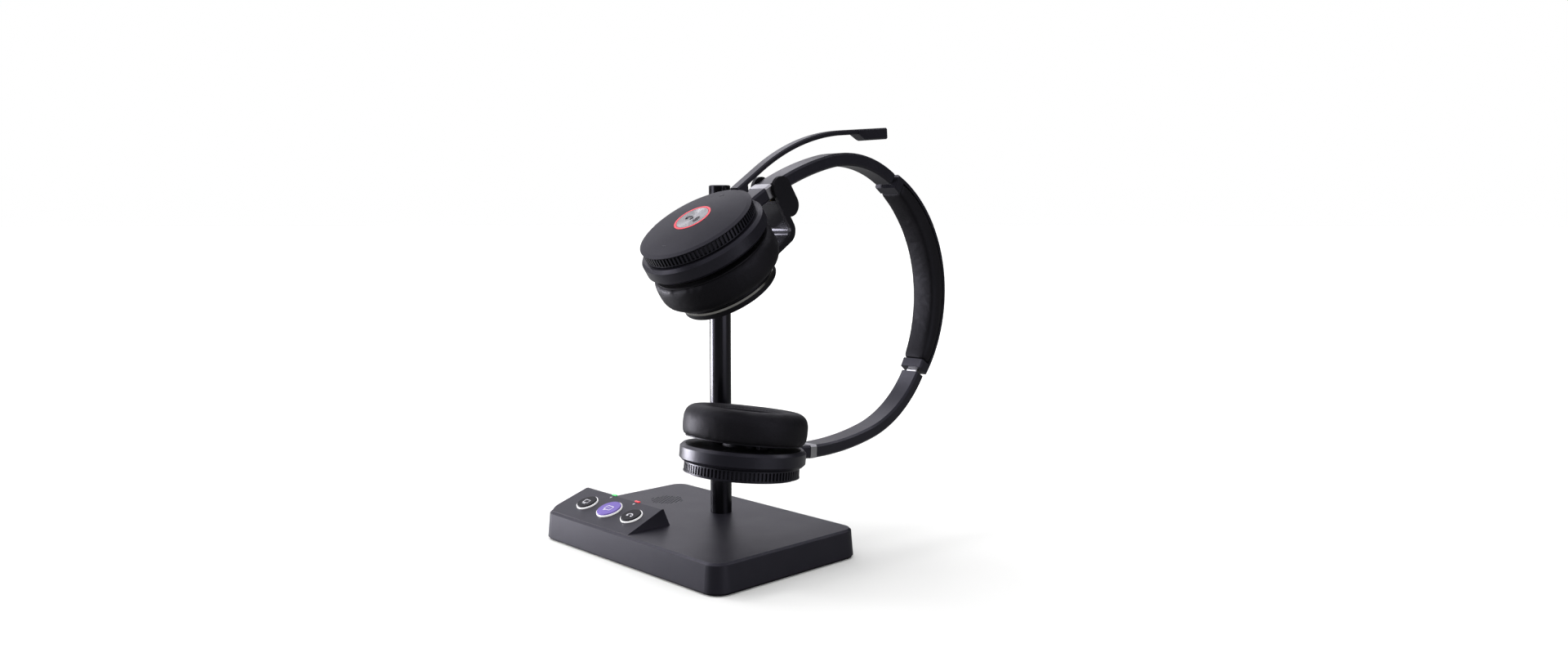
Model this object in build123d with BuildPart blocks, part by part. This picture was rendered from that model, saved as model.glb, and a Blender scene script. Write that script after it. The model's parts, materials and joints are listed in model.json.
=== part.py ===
"""Wireless office headset hanging on its charging station.

The base slab carries a key console, a speaker and a round post.  A dish on the post carries the upper
ear cushion and a bent arm with a saddle holds the headset's upper arm over the charging pins.
Millimetres, +Z up, origin in the middle of the anti-slip pad's underside, +X along the front edge to the
right, +Y to the back.
"""
import os
from math import cos, radians, sin, tan

from build123d import *

# ---------------------------------------------------------------- base station
BASE_LENGTH = 150.0
BASE_DEPTH = 100.0
BASE_TOP = 16.1
SHELL_FOOT = 1.6
BASE_CORNER = 8.0
BASE_DRAFT = 5.0
BASE_CHAMFER = 1.1
BASE_WALL = 2.2
PAD_HEIGHT = 0.5
PAD_INSET = 5.0
PLATE_TOP = 3.2
PLATE_INSET = 2.6
PLATE_LIP_INSET = 0.9
BALLAST_TOP = 8.4
BALLAST_LENGTH = 112.0
BALLAST_DEPTH = 50.0
BALLAST_Y = 14.0
BALLAST_CORNER = 4.0
SOCKET_PLACES = (20.0, 38.0)
SOCKET_Z = 7.2
SOCKET_SIZE = (8.9, 7.2, 3.1)
SOCKET_MOUTH = (8.3, 2.5, 1.2)
SOCKET_DEPTH = 5.0
SOCKET_SETBACK = 3.4
SOCKET_GAP = 0.2
SCREW_SPACING_X = 126.0
SCREW_SPACING_Y = 78.0
SCREW_RADIUS = 1.4
SCREW_HEAD_RADIUS = 2.5
SCREW_HEAD_HEIGHT = 0.9
SCREW_LENGTH = 8.0
BOSS_RADIUS = 3.4
MAIN_BOARD_PLACE = (10.0, -31.0, 5.0)
MAIN_BOARD_SIZE = (92.0, 20.0, 1.6)
PROCESSOR_PLACE = (38.0, -31.0, 6.8)
PROCESSOR_SIZE = (12.0, 12.0, 2.0)
CLEAR_OF_ALL = 30.0

# console: a wedge along the front left of the base, with its keys on the slope
CONSOLE_RIGHT_FOOT = 1.0
CONSOLE_RIGHT_TOP = -2.0
CONSOLE_FRONT = -47.8
CONSOLE_RIDGE = -22.5
CONSOLE_BACK = -19.4
CONSOLE_RISE = 8.6
CONSOLE_SLOPE = 18.8
RIDGE_WIDTH = 1.2
KEY_LINE = -34.4
KEY_PLACES = {"computer_key": (-54.8, 5.8), "app_key": (-33.6, 6.95), "phone_key": (-13.3, 5.8)}
KEY_STAND = 1.5
KEY_STROKE = 0.7
KEY_SKIRT = 1.6
KEY_STEM_RADIUS = 1.6
KEY_EDGE = 0.35
KEY_FREE_TRAVEL = 0.1
SWITCH_SIZE = 5.0
SWITCH_HEIGHT = 1.6
LIGHT_STAND = 0.85
LIGHT_WIDTH = 0.5
LIGHT_ROOT = 1.8
KEY_GAP = 0.12
STATUS_PLACES = (-46.0, -24.5)
STATUS_LENGTH = 3.6
STATUS_DEPTH = 0.8
STATUS_STAND = 0.5
KEY_BOARD_X = -34.0
KEY_BOARD_LENGTH = 50.0
KEY_BOARD_WIDTH = 14.0
KEY_BOARD_DEPTH = 7.2
KEY_BOARD_THICKNESS = 1.2
KEY_BOARD_SPACE = 17.0

# base speaker
SPEAKER_X = -45.0
SPEAKER_Y = 15.0
SPEAKER_HOLE_FIELD = 9.6
SPEAKER_HOLE_PITCH = 2.1
SPEAKER_HOLE_RADIUS = 0.55
SPEAKER_FOOT = 8.6
SPEAKER_MAGNET_RADIUS = 7.0
SPEAKER_MAGNET_HEIGHT = 2.2
SPEAKER_CONE_RADIUS = 12.0
SPEAKER_CONE_HEIGHT = 2.6

# post
POST_X = -2.3
POST_Y = 20.4
POST_RADIUS = 6.0
POST_WALL = 1.2
POST_TOP = 200.0
POST_CAP_HEIGHT = 1.2
POST_CAP_EDGE = 0.5
POST_PLUG = 6.0
POST_FIT = 0.05
NUT_RADIUS = 9.5
NUT_HEIGHT = 3.6

# ---------------------------------------------------------------- headset layout
# The arch plane is the headset's middle plane: local x runs from the cups to the top of the band,
# local y runs from the middle of the head to the upper cup.
HEADSET_X = 39.0
ARCH_Y = -16.7
ARCH_Z = 113.5
ARCH_TILT = 13.0
CUP_ALONG = 0.0
CUP_ACROSS = 68.0
CUP_TOE = {1: 21.0, -1: 19.0}

# heights in a cup, measured from its outer face towards the ear
FACE_RADIUS = 30.8
FACE_BEVEL = 2.0
FACE_THICKNESS = 1.1
UPPER_DOME = 3.0
LOWER_DOME = 1.2
RING_RADIUS = 30.5
RING_TOP = -1.6
RING_BOTTOM = -6.2
RIB_COUNT = 88
RIB_DEPTH = 1.1
RIB_GAP = 1.2
RIB_ROOT = 0.6
HUB_RADIUS = 24.0
HUB_WALL = 1.8
HUB_FLOOR = 1.6
HOUSING_RADIUS = 33.4
HOUSING_TOP = -6.7
HOUSING_BOTTOM = -15.3
HOUSING_CHAMFER = 1.5
HOUSING_WALL = 1.6
CLOSING_RADIUS = 30.4
CLOSING_THICKNESS = 2.0
PIVOT_HEIGHT = -15.8
PIVOT_PIN_RADIUS = 1.2
PIVOT_CLEARANCE = 0.05
PIVOT_REACH = 20.0
LUG_THICKNESS = 2.6
LUG_DEPTH = 6.0
LUG_DROP = 2.4
LUG_PLACE = 14.4
PIN_HALF = 15.7
PAN_RADIUS = 31.0
PAN_TOP = -18.3
PAN_BOTTOM = -20.3
PAN_STEP = 0.8
NECK_RADIUS = 11.0
NECK_WALL = 2.0
DRIVER_RADIUS = 14.8
DRIVER_BOTTOM = -25.5
DRIVER_HOLE_RADIUS = 1.1
DRIVER_HOLE_DEPTH = 1.2
DRIVER_HOLE_RINGS = ((4.6, 6), (9.2, 12))
EAR_RECESS_RADIUS = 15.2
CUSHION_RADIUS = 33.8
CUSHION_FACE = -35.3
CUSHION_EDGE = 6.5
CUSHION_BACK_EDGE = 2.4
LOWER_LEAN = 2.5

# call button and light ring in the middle of the volume rocker
BUTTON_RADIUS = 8.8
BUTTON_THICKNESS = 2.0
BUTTON_RIM = 0.5
BUTTON_DISH = 0.65
BUTTON_STEM_RADIUS = 1.8
BUTTON_STEM_FOOT = -3.1
LIGHT_RING_INNER = 9.05
LIGHT_RING_OUTER = 10.1
BOARD_RADIUS = 21.5
BOARD_THICKNESS = 1.2
BOARD_SWITCH = 4.0
CALL_SWITCH_HEIGHT = 1.1
VOLUME_SWITCH_PLACE = 17.0
VOLUME_SWITCH_HEIGHT = 2.7
BATTERY_RADIUS = 20.0

# arms and band
BAND_ALONG = 102.2
BAND_OUTER = 77.8
BAND_INNER_ALONG = 87.8
BAND_INNER = 79.2
BAND_ROOT = 58.0
SHELL_THICKNESS = 2.4
SPRING_THICKNESS = 0.6
SPRING_HALF_WIDTH = 4.5
BAND_WIDTH = 15.6
SHELL_EDGE = 0.6
BAND_END = 47.6
CUSHION_INNER_EDGE = 3.0
CAP_END = 52.0
CAP_PROUD = 0.1
CAP_EDGE = 0.9
SPRING_END = 30.0
ARM_THICKNESS = 7.2
ARM_WIDTH = 13.0
ARM_EDGE = 1.1
ARM_LONG_RADIUS = 178.4
ARM_LONG_SWEEP = 21.8
ARM_BEND_ALONG = 97.0
ARM_BEND_ACROSS = 8.0
ARM_BEND_RADIUS = 71.4
ARM_END = 46.6
ACCENT_START = 15.1
ACCENT_SWEEP = 1.5
ACCENT_DEPTH = 0.6
ACCENT_PROUD = 0.1
TONGUE_PLACE = (146.2, 58.2)
TONGUE_HEADING = 41.0
TONGUE_IN_ARM = 18.0
TONGUE_IN_BAND = 22.0
TONGUE_THICKNESS = 1.2
TONGUE_WIDTH = 7.0
SLIDE_CLEARANCE = 0.3
SLIDE_ROOM = 2.0

# microphone boom, in the plane through the upper cup's axis and the band
BOOM_HEIGHT = -1.6
BOOM_THICKNESS = 2.8
BOOM_WIDTH = 6.4
BOOM_START = 31.4
BOOM_ROOT = 28.5
BOOM_FOOT = -5.8
BOOM_KNEE = 38.0
BOOM_EDGE = 0.7
BOOM_STRAIGHT_END = 52.0
BOOM_RADIUS = 130.0
BOOM_BEND = 28.8
BOOM_TAIL = 12.5
MIC_LENGTH = 24.5
MIC_DEPTH = 6.5
MIC_RAMP = 6.0
MIC_GRILLE = (5.0, 3.4)
MIC_GRILLE_FROM_END = 8.0
MIC_GRILLE_HEIGHT = 1.6
MIC_CAPSULE = (4.8, 3.0)
MIC_EDGE = 0.8

# dock: dish under the upper cushion, and the arm with its saddle, in the upper cup's side plane
DISH_TOP = -35.6
DISH_BOTTOM = -41.6
DISH_RADIUS = 26.0
RIM_RADIUS = 26.6
RIM_TOP = -37.2
RIM_BOTTOM = -38.8
DOCK_LEG_TOP = -38.2
DOCK_LEG_BOTTOM = -41.6
DOCK_BEND = 43.0
DOCK_OUTSIDE = 50.0
DOCK_INNER_BEND = 3.6
DISH_EDGE = 1.2
RIM_EDGE = 0.2
HEAD_CENTRE = (53.3, -19.8)
HEAD_LENGTH = 23.0
HEAD_WIDTH = 12.4
SADDLE_FLOOR = -18.7
DOCK_CORE_HALF = 6.8
CHEEK_THICKNESS = 2.1
PIN_PLACES = ((0.0, 51.0), (0.0, 55.5))
PIN_RADIUS = 0.9
PIN_DEPTH = 3.0
PIN_LENGTH = 3.8
MAGNET_RADIUS = 12.0
MAGNET_HEIGHT = 3.2
BRACKET_BOTTOM = 139.0
BRACKET_TOP = 152.0
BRACKET_WALL = 2.6
BRACKET_FOOT = (34.0, 1.0)
BRACKET_FOOT_RADIUS = 9.0

ARCH = Plane(
    origin=(HEADSET_X, ARCH_Y, ARCH_Z),
    x_dir=(0, cos(radians(ARCH_TILT)), sin(radians(ARCH_TILT))),
    z_dir=(1, 0, 0),
)


def cup_plane(side):
    """Plane of a cup's outer face: z points away from the ear, y towards the band. side is +1 or -1."""
    toe = radians(CUP_TOE[side])
    outward = ARCH.x_dir * -sin(toe) + ARCH.y_dir * (side * cos(toe))
    return Plane(
        origin=ARCH.from_local_coords((CUP_ALONG, side * CUP_ACROSS, 0)),
        x_dir=(side, 0, 0),
        z_dir=outward,
    )


def leaned(plane, degrees):
    """The same plane turned about the speaker's pivot axis."""
    pivot = Axis(plane.from_local_coords((0, 0, PIVOT_HEIGHT)), plane.x_dir)
    turned = Plane(
        origin=plane.origin,
        x_dir=plane.x_dir,
        z_dir=plane.z_dir.rotate(Axis((0, 0, 0), plane.x_dir), degrees),
    )
    reach = plane.origin - pivot.position
    turned.origin = pivot.position + reach.rotate(Axis((0, 0, 0), plane.x_dir), degrees)
    return turned


UPPER = cup_plane(1)
LOWER = cup_plane(-1)
UPPER_SPEAKER = UPPER
LOWER_SPEAKER = leaned(LOWER, LOWER_LEAN)
DOCK_SIDE = Plane(origin=UPPER.origin, x_dir=UPPER.y_dir, z_dir=(1, 0, 0))


def slope_plane(x):
    """Plane on the console's slope at a key's centre."""
    height = BASE_TOP + (KEY_LINE - CONSOLE_FRONT) * tan(radians(CONSOLE_SLOPE))
    tilt = radians(CONSOLE_SLOPE)
    return Plane(origin=(x, KEY_LINE, height), x_dir=(1, 0, 0), z_dir=(0, -sin(tilt), cos(tilt)))


def save(piece, name):
    """Label a finished piece and write its STEP file."""
    piece.label = name
    export_step(piece, f"parts/{name}.step")


os.makedirs("parts", exist_ok=True)

# ================================================================ base station
flare = (BASE_TOP - SHELL_FOOT) * tan(radians(BASE_DRAFT))
foot_length = BASE_LENGTH + 2 * flare
foot_depth = BASE_DEPTH + 2 * flare
foot_corner = BASE_CORNER + flare
status_spots = [(x, CONSOLE_RIDGE + RIDGE_WIDTH / 2, BASE_TOP + CONSOLE_RISE) for x in STATUS_PLACES]


def speaker_holes():
    """Places of the speaker's holes about its centre: staggered rows inside a circle."""
    half_rows = int(SPEAKER_HOLE_FIELD / SPEAKER_HOLE_PITCH) + 1
    row_pitch = SPEAKER_HOLE_PITCH * sin(radians(60))
    places = []
    for row in range(-half_rows, half_rows + 1):
        for column in range(-half_rows, half_rows + 1):
            place = ((column + 0.5 * (row % 2)) * SPEAKER_HOLE_PITCH, row * row_pitch)
            if place[0] ** 2 + place[1] ** 2 <= SPEAKER_HOLE_FIELD**2:
                places.append(place)
    return places


with BuildPart() as console_block:
    with BuildSketch(Plane.YZ.offset(-BASE_LENGTH / 2)):
        with BuildLine():
            Polyline(
                (CONSOLE_FRONT, BASE_TOP - BASE_WALL),
                (CONSOLE_FRONT, BASE_TOP),
                (CONSOLE_RIDGE, BASE_TOP + CONSOLE_RISE),
                (CONSOLE_RIDGE + RIDGE_WIDTH, BASE_TOP + CONSOLE_RISE),
                (CONSOLE_BACK, BASE_TOP),
                (CONSOLE_BACK, BASE_TOP - BASE_WALL),
                close=True,
            )
        make_face()
    extrude(amount=BASE_LENGTH / 2 + CONSOLE_RIGHT_FOOT)
    lean = (CONSOLE_RIGHT_FOOT - CONSOLE_RIGHT_TOP) / CONSOLE_RISE
    with BuildSketch(Plane.XZ.offset(BASE_DEPTH / 2)):
        with BuildLine():
            Polyline(
                (CONSOLE_RIGHT_FOOT, BASE_TOP),
                (CONSOLE_RIGHT_FOOT - lean * CLEAR_OF_ALL, BASE_TOP + CLEAR_OF_ALL),
                (CONSOLE_RIGHT_FOOT + CLEAR_OF_ALL, BASE_TOP + CLEAR_OF_ALL),
                (CONSOLE_RIGHT_FOOT + CLEAR_OF_ALL, BASE_TOP),
                close=True,
            )
        make_face()
    extrude(amount=-BASE_DEPTH, mode=Mode.SUBTRACT)
    with BuildSketch(Plane.XY.offset(SHELL_FOOT)):
        RectangleRounded(foot_length - 2 * BASE_CHAMFER, foot_depth - 2 * BASE_CHAMFER, foot_corner)
    extrude(amount=CLEAR_OF_ALL, taper=BASE_DRAFT, mode=Mode.INTERSECT)

with BuildPart() as base_shell:
    with BuildSketch(Plane.XY.offset(SHELL_FOOT)):
        RectangleRounded(foot_length, foot_depth, foot_corner)
    extrude(amount=BASE_TOP - SHELL_FOOT, taper=BASE_DRAFT)
    chamfer(base_shell.edges().group_by(Axis.Z)[-1], BASE_CHAMFER)
    add(console_block.part)
    with BuildSketch(Plane.XY.offset(SHELL_FOOT)):
        RectangleRounded(foot_length - 2 * BASE_WALL, foot_depth - 2 * BASE_WALL, foot_corner - BASE_WALL)
    extrude(amount=BASE_TOP - SHELL_FOOT - BASE_WALL, taper=BASE_DRAFT, mode=Mode.SUBTRACT)
    # space for the key board under the slope
    with BuildSketch(slope_plane(KEY_BOARD_X).offset(-LIGHT_ROOT)):
        Rectangle(KEY_BOARD_LENGTH + 2, KEY_BOARD_SPACE)
    extrude(amount=-(KEY_BOARD_DEPTH + LIGHT_ROOT), mode=Mode.SUBTRACT)
    # keys
    for x, radius in KEY_PLACES.values():
        with BuildSketch(slope_plane(x).offset(KEY_STAND)):
            Circle(radius + LIGHT_WIDTH)
        extrude(amount=-2 * (KEY_STAND + LIGHT_ROOT), mode=Mode.SUBTRACT)
    # status lights on the ridge
    with Locations(*status_spots):
        Box(STATUS_LENGTH, RIDGE_WIDTH, 2 * STATUS_DEPTH, mode=Mode.SUBTRACT)
    # post hole and speaker holes
    with Locations((POST_X, POST_Y, BASE_TOP)):
        Cylinder(POST_RADIUS + POST_FIT, 3 * BASE_WALL, mode=Mode.SUBTRACT)
    with Locations(*[(SPEAKER_X + x, SPEAKER_Y + y, BASE_TOP) for x, y in speaker_holes()]):
        Cylinder(SPEAKER_HOLE_RADIUS, 3 * BASE_WALL, mode=Mode.SUBTRACT)
    # socket windows in the back wall
    with Locations(*[(x, BASE_DEPTH / 2, SOCKET_Z) for x in SOCKET_PLACES]):
        Box(SOCKET_SIZE[0] + 2 * SOCKET_GAP, 8, SOCKET_SIZE[2] + 2 * SOCKET_GAP, mode=Mode.SUBTRACT)
    # screw bosses, which reach a little into the top wall
    with BuildSketch(Plane.XY.offset(PLATE_TOP)):
        with GridLocations(SCREW_SPACING_X, SCREW_SPACING_Y, 2, 2):
            Circle(BOSS_RADIUS)
            Circle(SCREW_RADIUS, mode=Mode.SUBTRACT)
    extrude(amount=BASE_TOP - 0.9 * BASE_WALL - PLATE_TOP)
save(base_shell.part, "base_shell")

with BuildPart() as bottom_plate:
    with BuildSketch(Plane.XY.offset(PAD_HEIGHT)):
        RectangleRounded(foot_length - 2 * PLATE_INSET, foot_depth - 2 * PLATE_INSET, BASE_CORNER)
    extrude(amount=PLATE_TOP - PAD_HEIGHT)
    # lip that closes the joint under the shell's foot
    with BuildSketch(Plane.XY.offset(PAD_HEIGHT)):
        RectangleRounded(foot_length - 2 * PLATE_LIP_INSET, foot_depth - 2 * PLATE_LIP_INSET, BASE_CORNER)
    extrude(amount=SHELL_FOOT - PAD_HEIGHT)
    with GridLocations(SCREW_SPACING_X, SCREW_SPACING_Y, 2, 2):
        Cylinder(SCREW_RADIUS, CLEAR_OF_ALL, mode=Mode.SUBTRACT)
    with BuildSketch(Plane.XY.offset(PAD_HEIGHT)):
        with GridLocations(SCREW_SPACING_X, SCREW_SPACING_Y, 2, 2):
            Circle(SCREW_HEAD_RADIUS + 0.3)
    extrude(amount=SCREW_HEAD_HEIGHT, mode=Mode.SUBTRACT)
save(bottom_plate.part, "bottom_plate")

with BuildPart() as anti_slip_pad:
    with BuildSketch():
        RectangleRounded(foot_length - 2 * PAD_INSET, foot_depth - 2 * PAD_INSET, BASE_CORNER - 2)
    extrude(amount=PAD_HEIGHT)
    with GridLocations(SCREW_SPACING_X, SCREW_SPACING_Y, 2, 2):
        Cylinder(SCREW_HEAD_RADIUS + 0.5, CLEAR_OF_ALL, mode=Mode.SUBTRACT)
save(anti_slip_pad.part, "anti_slip_pad")

with BuildPart() as ballast_plate:
    with BuildSketch(Plane.XY.offset(PLATE_TOP)):
        with Locations((POST_X, BALLAST_Y)):
            Rectangle(BALLAST_LENGTH, BALLAST_DEPTH)
        with Locations((POST_X, POST_Y)):
            Circle(POST_RADIUS, mode=Mode.SUBTRACT)
    extrude(amount=BALLAST_TOP - PLATE_TOP)
    # room for the sockets
    with Locations((sum(SOCKET_PLACES) / 2, BASE_DEPTH / 2 - 8, SOCKET_Z)):
        Box(32, 18, 6, mode=Mode.SUBTRACT)
    fillet(ballast_plate.edges().filter_by(Axis.Z).sort_by(Axis.Y)[:2], BALLAST_CORNER)
save(ballast_plate.part, "ballast_plate")

with BuildPart() as base_screws:
    with BuildSketch(Plane.XY.offset(PAD_HEIGHT)):
        with GridLocations(SCREW_SPACING_X, SCREW_SPACING_Y, 2, 2):
            Circle(SCREW_HEAD_RADIUS)
    extrude(amount=SCREW_HEAD_HEIGHT)
    with BuildSketch(Plane.XY.offset(PAD_HEIGHT + SCREW_HEAD_HEIGHT)):
        with GridLocations(SCREW_SPACING_X, SCREW_SPACING_Y, 2, 2):
            Circle(SCREW_RADIUS - 0.02)
    extrude(amount=SCREW_LENGTH)
save(base_screws.part, "base_screws")

with BuildPart() as main_board:
    with Locations(MAIN_BOARD_PLACE):
        Box(*MAIN_BOARD_SIZE)
    with Locations(PROCESSOR_PLACE):
        Box(*PROCESSOR_SIZE)
save(main_board.part, "main_board")

with BuildPart() as port_sockets:
    with Locations(*[(x, BASE_DEPTH / 2 - SOCKET_SETBACK, SOCKET_Z) for x in SOCKET_PLACES]):
        Box(*SOCKET_SIZE)
    for x in SOCKET_PLACES:
        with BuildSketch(Plane.XZ.offset(-BASE_DEPTH / 2)):
            with Locations((x, SOCKET_Z)):
                RectangleRounded(*SOCKET_MOUTH)
        extrude(amount=SOCKET_DEPTH, mode=Mode.SUBTRACT)
save(port_sockets.part, "port_sockets")

with BuildPart() as base_speaker:
    with BuildSketch(Plane.XY.offset(SPEAKER_FOOT)):
        with Locations((SPEAKER_X, SPEAKER_Y)):
            Circle(SPEAKER_MAGNET_RADIUS)
    extrude(amount=SPEAKER_MAGNET_HEIGHT)
    with BuildSketch(Plane.XY.offset(SPEAKER_FOOT + SPEAKER_MAGNET_HEIGHT)):
        with Locations((SPEAKER_X, SPEAKER_Y)):
            Circle(SPEAKER_CONE_RADIUS)
    extrude(amount=SPEAKER_CONE_HEIGHT)
save(base_speaker.part, "base_speaker")

with BuildPart() as key_board:
    with BuildSketch(slope_plane(KEY_BOARD_X).offset(-KEY_BOARD_DEPTH)):
        Rectangle(KEY_BOARD_LENGTH, KEY_BOARD_WIDTH)
    extrude(amount=KEY_BOARD_THICKNESS)
    with BuildSketch(slope_plane(0).offset(KEY_BOARD_THICKNESS - KEY_BOARD_DEPTH)):
        with Locations(*[(x, 0) for x, radius in KEY_PLACES.values()]):
            Rectangle(SWITCH_SIZE, SWITCH_SIZE)
    extrude(amount=SWITCH_HEIGHT)
save(key_board.part, "key_board")

with BuildPart() as key_lights:
    for x, radius in KEY_PLACES.values():
        with BuildSketch(slope_plane(x).offset(-LIGHT_ROOT)):
            Circle(radius + LIGHT_WIDTH)
            Circle(radius + KEY_GAP, mode=Mode.SUBTRACT)
        extrude(amount=LIGHT_ROOT + LIGHT_STAND)
save(key_lights.part, "key_lights")

switch_top_depth = KEY_BOARD_DEPTH - KEY_BOARD_THICKNESS - SWITCH_HEIGHT
for key_name, (x, radius) in KEY_PLACES.items():
    with BuildPart() as key:
        with BuildSketch(slope_plane(x).offset(-KEY_SKIRT)):
            Circle(radius)
        extrude(amount=KEY_SKIRT + KEY_STAND)
        fillet(key.faces().sort_by(Axis((0, 0, 0), slope_plane(x).z_dir))[-1].edges(), KEY_EDGE)
        with BuildSketch(slope_plane(x).offset(-KEY_SKIRT)):
            Circle(KEY_STEM_RADIUS)
        extrude(amount=-(switch_top_depth - KEY_SKIRT - KEY_STROKE - KEY_FREE_TRAVEL))
    save(key.part, key_name)

with BuildPart() as status_lights:
    with Locations(*status_spots):
        Box(STATUS_LENGTH, RIDGE_WIDTH, 2 * STATUS_STAND)
    with Locations(*[(x, y, z - STATUS_DEPTH / 2) for x, y, z in status_spots]):
        Box(STATUS_LENGTH, RIDGE_WIDTH, STATUS_DEPTH)
save(status_lights.part, "status_lights")

# ================================================================ post
with BuildPart() as post_tube:
    with BuildSketch(Plane.XY.offset(PLATE_TOP)):
        with Locations((POST_X, POST_Y)):
            Circle(POST_RADIUS)
            Circle(POST_RADIUS - POST_WALL, mode=Mode.SUBTRACT)
    extrude(amount=POST_TOP - POST_CAP_HEIGHT - PLATE_TOP)
save(post_tube.part, "post_tube")

with BuildPart() as post_cap:
    with BuildSketch(Plane.XY.offset(POST_TOP - POST_CAP_HEIGHT)):
        with Locations((POST_X, POST_Y)):
            Circle(POST_RADIUS)
    extrude(amount=POST_CAP_HEIGHT)
    chamfer(post_cap.edges().group_by(Axis.Z)[-1], POST_CAP_EDGE)
    with BuildSketch(Plane.XY.offset(POST_TOP - POST_CAP_HEIGHT)):
        with Locations((POST_X, POST_Y)):
            Circle(POST_RADIUS - POST_WALL)
    extrude(amount=-POST_PLUG)
save(post_cap.part, "post_cap")

with BuildPart() as post_nut:
    with BuildSketch(Plane.XY.offset(BALLAST_TOP)):
        with Locations((POST_X, POST_Y)):
            RegularPolygon(NUT_RADIUS, 6)
            Circle(POST_RADIUS, mode=Mode.SUBTRACT)
    extrude(amount=NUT_HEIGHT)
save(post_nut.part, "post_nut")

# ================================================================ dock
leg_start = DISH_RADIUS - 4
bend_radius = DOCK_OUTSIDE - DOCK_BEND
with BuildPart() as dock_path:
    with BuildSketch(DOCK_SIDE):
        with BuildLine():
            outer_leg = Line((leg_start, DOCK_LEG_BOTTOM), (DOCK_BEND, DOCK_LEG_BOTTOM))
            outer_bend = RadiusArc(
                outer_leg @ 1, (DOCK_OUTSIDE, DOCK_LEG_BOTTOM + bend_radius), -bend_radius
            )
            outer_rise = Line(outer_bend @ 1, (DOCK_OUTSIDE, HEAD_CENTRE[1]))
            top = Line(outer_rise @ 1, (DOCK_BEND + DOCK_INNER_BEND, HEAD_CENTRE[1]))
            inner_rise = Line(top @ 1, (DOCK_BEND + DOCK_INNER_BEND, DOCK_LEG_TOP + DOCK_INNER_BEND))
            inner_bend = RadiusArc(inner_rise @ 1, (DOCK_BEND, DOCK_LEG_TOP), DOCK_INNER_BEND)
            inner_leg = Line(inner_bend @ 1, (leg_start, DOCK_LEG_TOP))
            Line(inner_leg @ 1, outer_leg @ 0)
        make_face()
        with Locations(HEAD_CENTRE):
            SlotOverall(HEAD_LENGTH, HEAD_WIDTH, rotation=90)
    extrude(amount=DOCK_CORE_HALF + CHEEK_THICKNESS, both=True)

with BuildPart() as dock_core_space:
    with BuildSketch(DOCK_SIDE):
        with Locations((30, -30)):
            Rectangle(100, 60)
    extrude(amount=DOCK_CORE_HALF, both=True)

with BuildPart() as saddle_space:
    with BuildSketch(DOCK_SIDE):
        with Locations((HEAD_CENTRE[0], SADDLE_FLOOR + 10)):
            Rectangle(60, 20)
    extrude(amount=DOCK_CORE_HALF, both=True)

with BuildPart() as dish_space:
    with BuildSketch(UPPER.offset(DISH_BOTTOM - 0.5)):
        Circle(DISH_RADIUS - 1.0)
    extrude(amount=DISH_TOP - DISH_BOTTOM + 1)

with BuildPart() as dock_arm:
    add(dock_path.part)
    add(dock_core_space.part, mode=Mode.INTERSECT)
    add(saddle_space.part, mode=Mode.SUBTRACT)
    add(dish_space.part, mode=Mode.SUBTRACT)
    with BuildSketch(UPPER.offset(SADDLE_FLOOR)):
        with Locations(*PIN_PLACES):
            Circle(PIN_RADIUS)
    extrude(amount=-PIN_DEPTH, mode=Mode.SUBTRACT)
save(dock_arm.part, "dock_arm")

with BuildPart() as dock_cheeks:
    add(dock_path.part)
    add(dock_core_space.part, mode=Mode.SUBTRACT)
    add(saddle_space.part, mode=Mode.SUBTRACT)
    add(dish_space.part, mode=Mode.SUBTRACT)
save(dock_cheeks.part, "dock_cheeks")

with BuildPart() as charge_pins:
    with BuildSketch(UPPER.offset(SADDLE_FLOOR - PIN_DEPTH)):
        with Locations(*PIN_PLACES):
            Circle(PIN_RADIUS)
    extrude(amount=PIN_LENGTH)
save(charge_pins.part, "charge_pins")

with BuildPart() as dock_dish:
    with BuildSketch(UPPER.offset(DISH_BOTTOM)):
        Circle(DISH_RADIUS)
    extrude(amount=DISH_TOP - DISH_BOTTOM)
    dish_edges = dock_dish.edges().filter_by(GeomType.CIRCLE)
    fillet(dish_edges.sort_by(Axis((0, 0, 0), UPPER.z_dir))[-1], DISH_EDGE)
    with BuildSketch(UPPER.offset(DISH_BOTTOM)):
        Circle(MAGNET_RADIUS)
    extrude(amount=MAGNET_HEIGHT, mode=Mode.SUBTRACT)
    add(dock_arm.part, mode=Mode.SUBTRACT)
    add(dock_cheeks.part, mode=Mode.SUBTRACT)
save(dock_dish.part, "dock_dish")

with BuildPart() as dock_magnet:
    with BuildSketch(UPPER.offset(DISH_BOTTOM)):
        Circle(MAGNET_RADIUS)
    extrude(amount=MAGNET_HEIGHT)
save(dock_magnet.part, "dock_magnet")

with BuildPart() as dock_rim:
    with BuildSketch(UPPER.offset(RIM_BOTTOM)):
        Circle(RIM_RADIUS)
        Circle(DISH_RADIUS, mode=Mode.SUBTRACT)
    extrude(amount=RIM_TOP - RIM_BOTTOM)
    chamfer(dock_rim.edges().filter_by(GeomType.CIRCLE).sort_by(SortBy.RADIUS)[-2:], RIM_EDGE)
    add(dock_arm.part, mode=Mode.SUBTRACT)
    add(dock_cheeks.part, mode=Mode.SUBTRACT)
save(dock_rim.part, "dock_rim")

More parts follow.
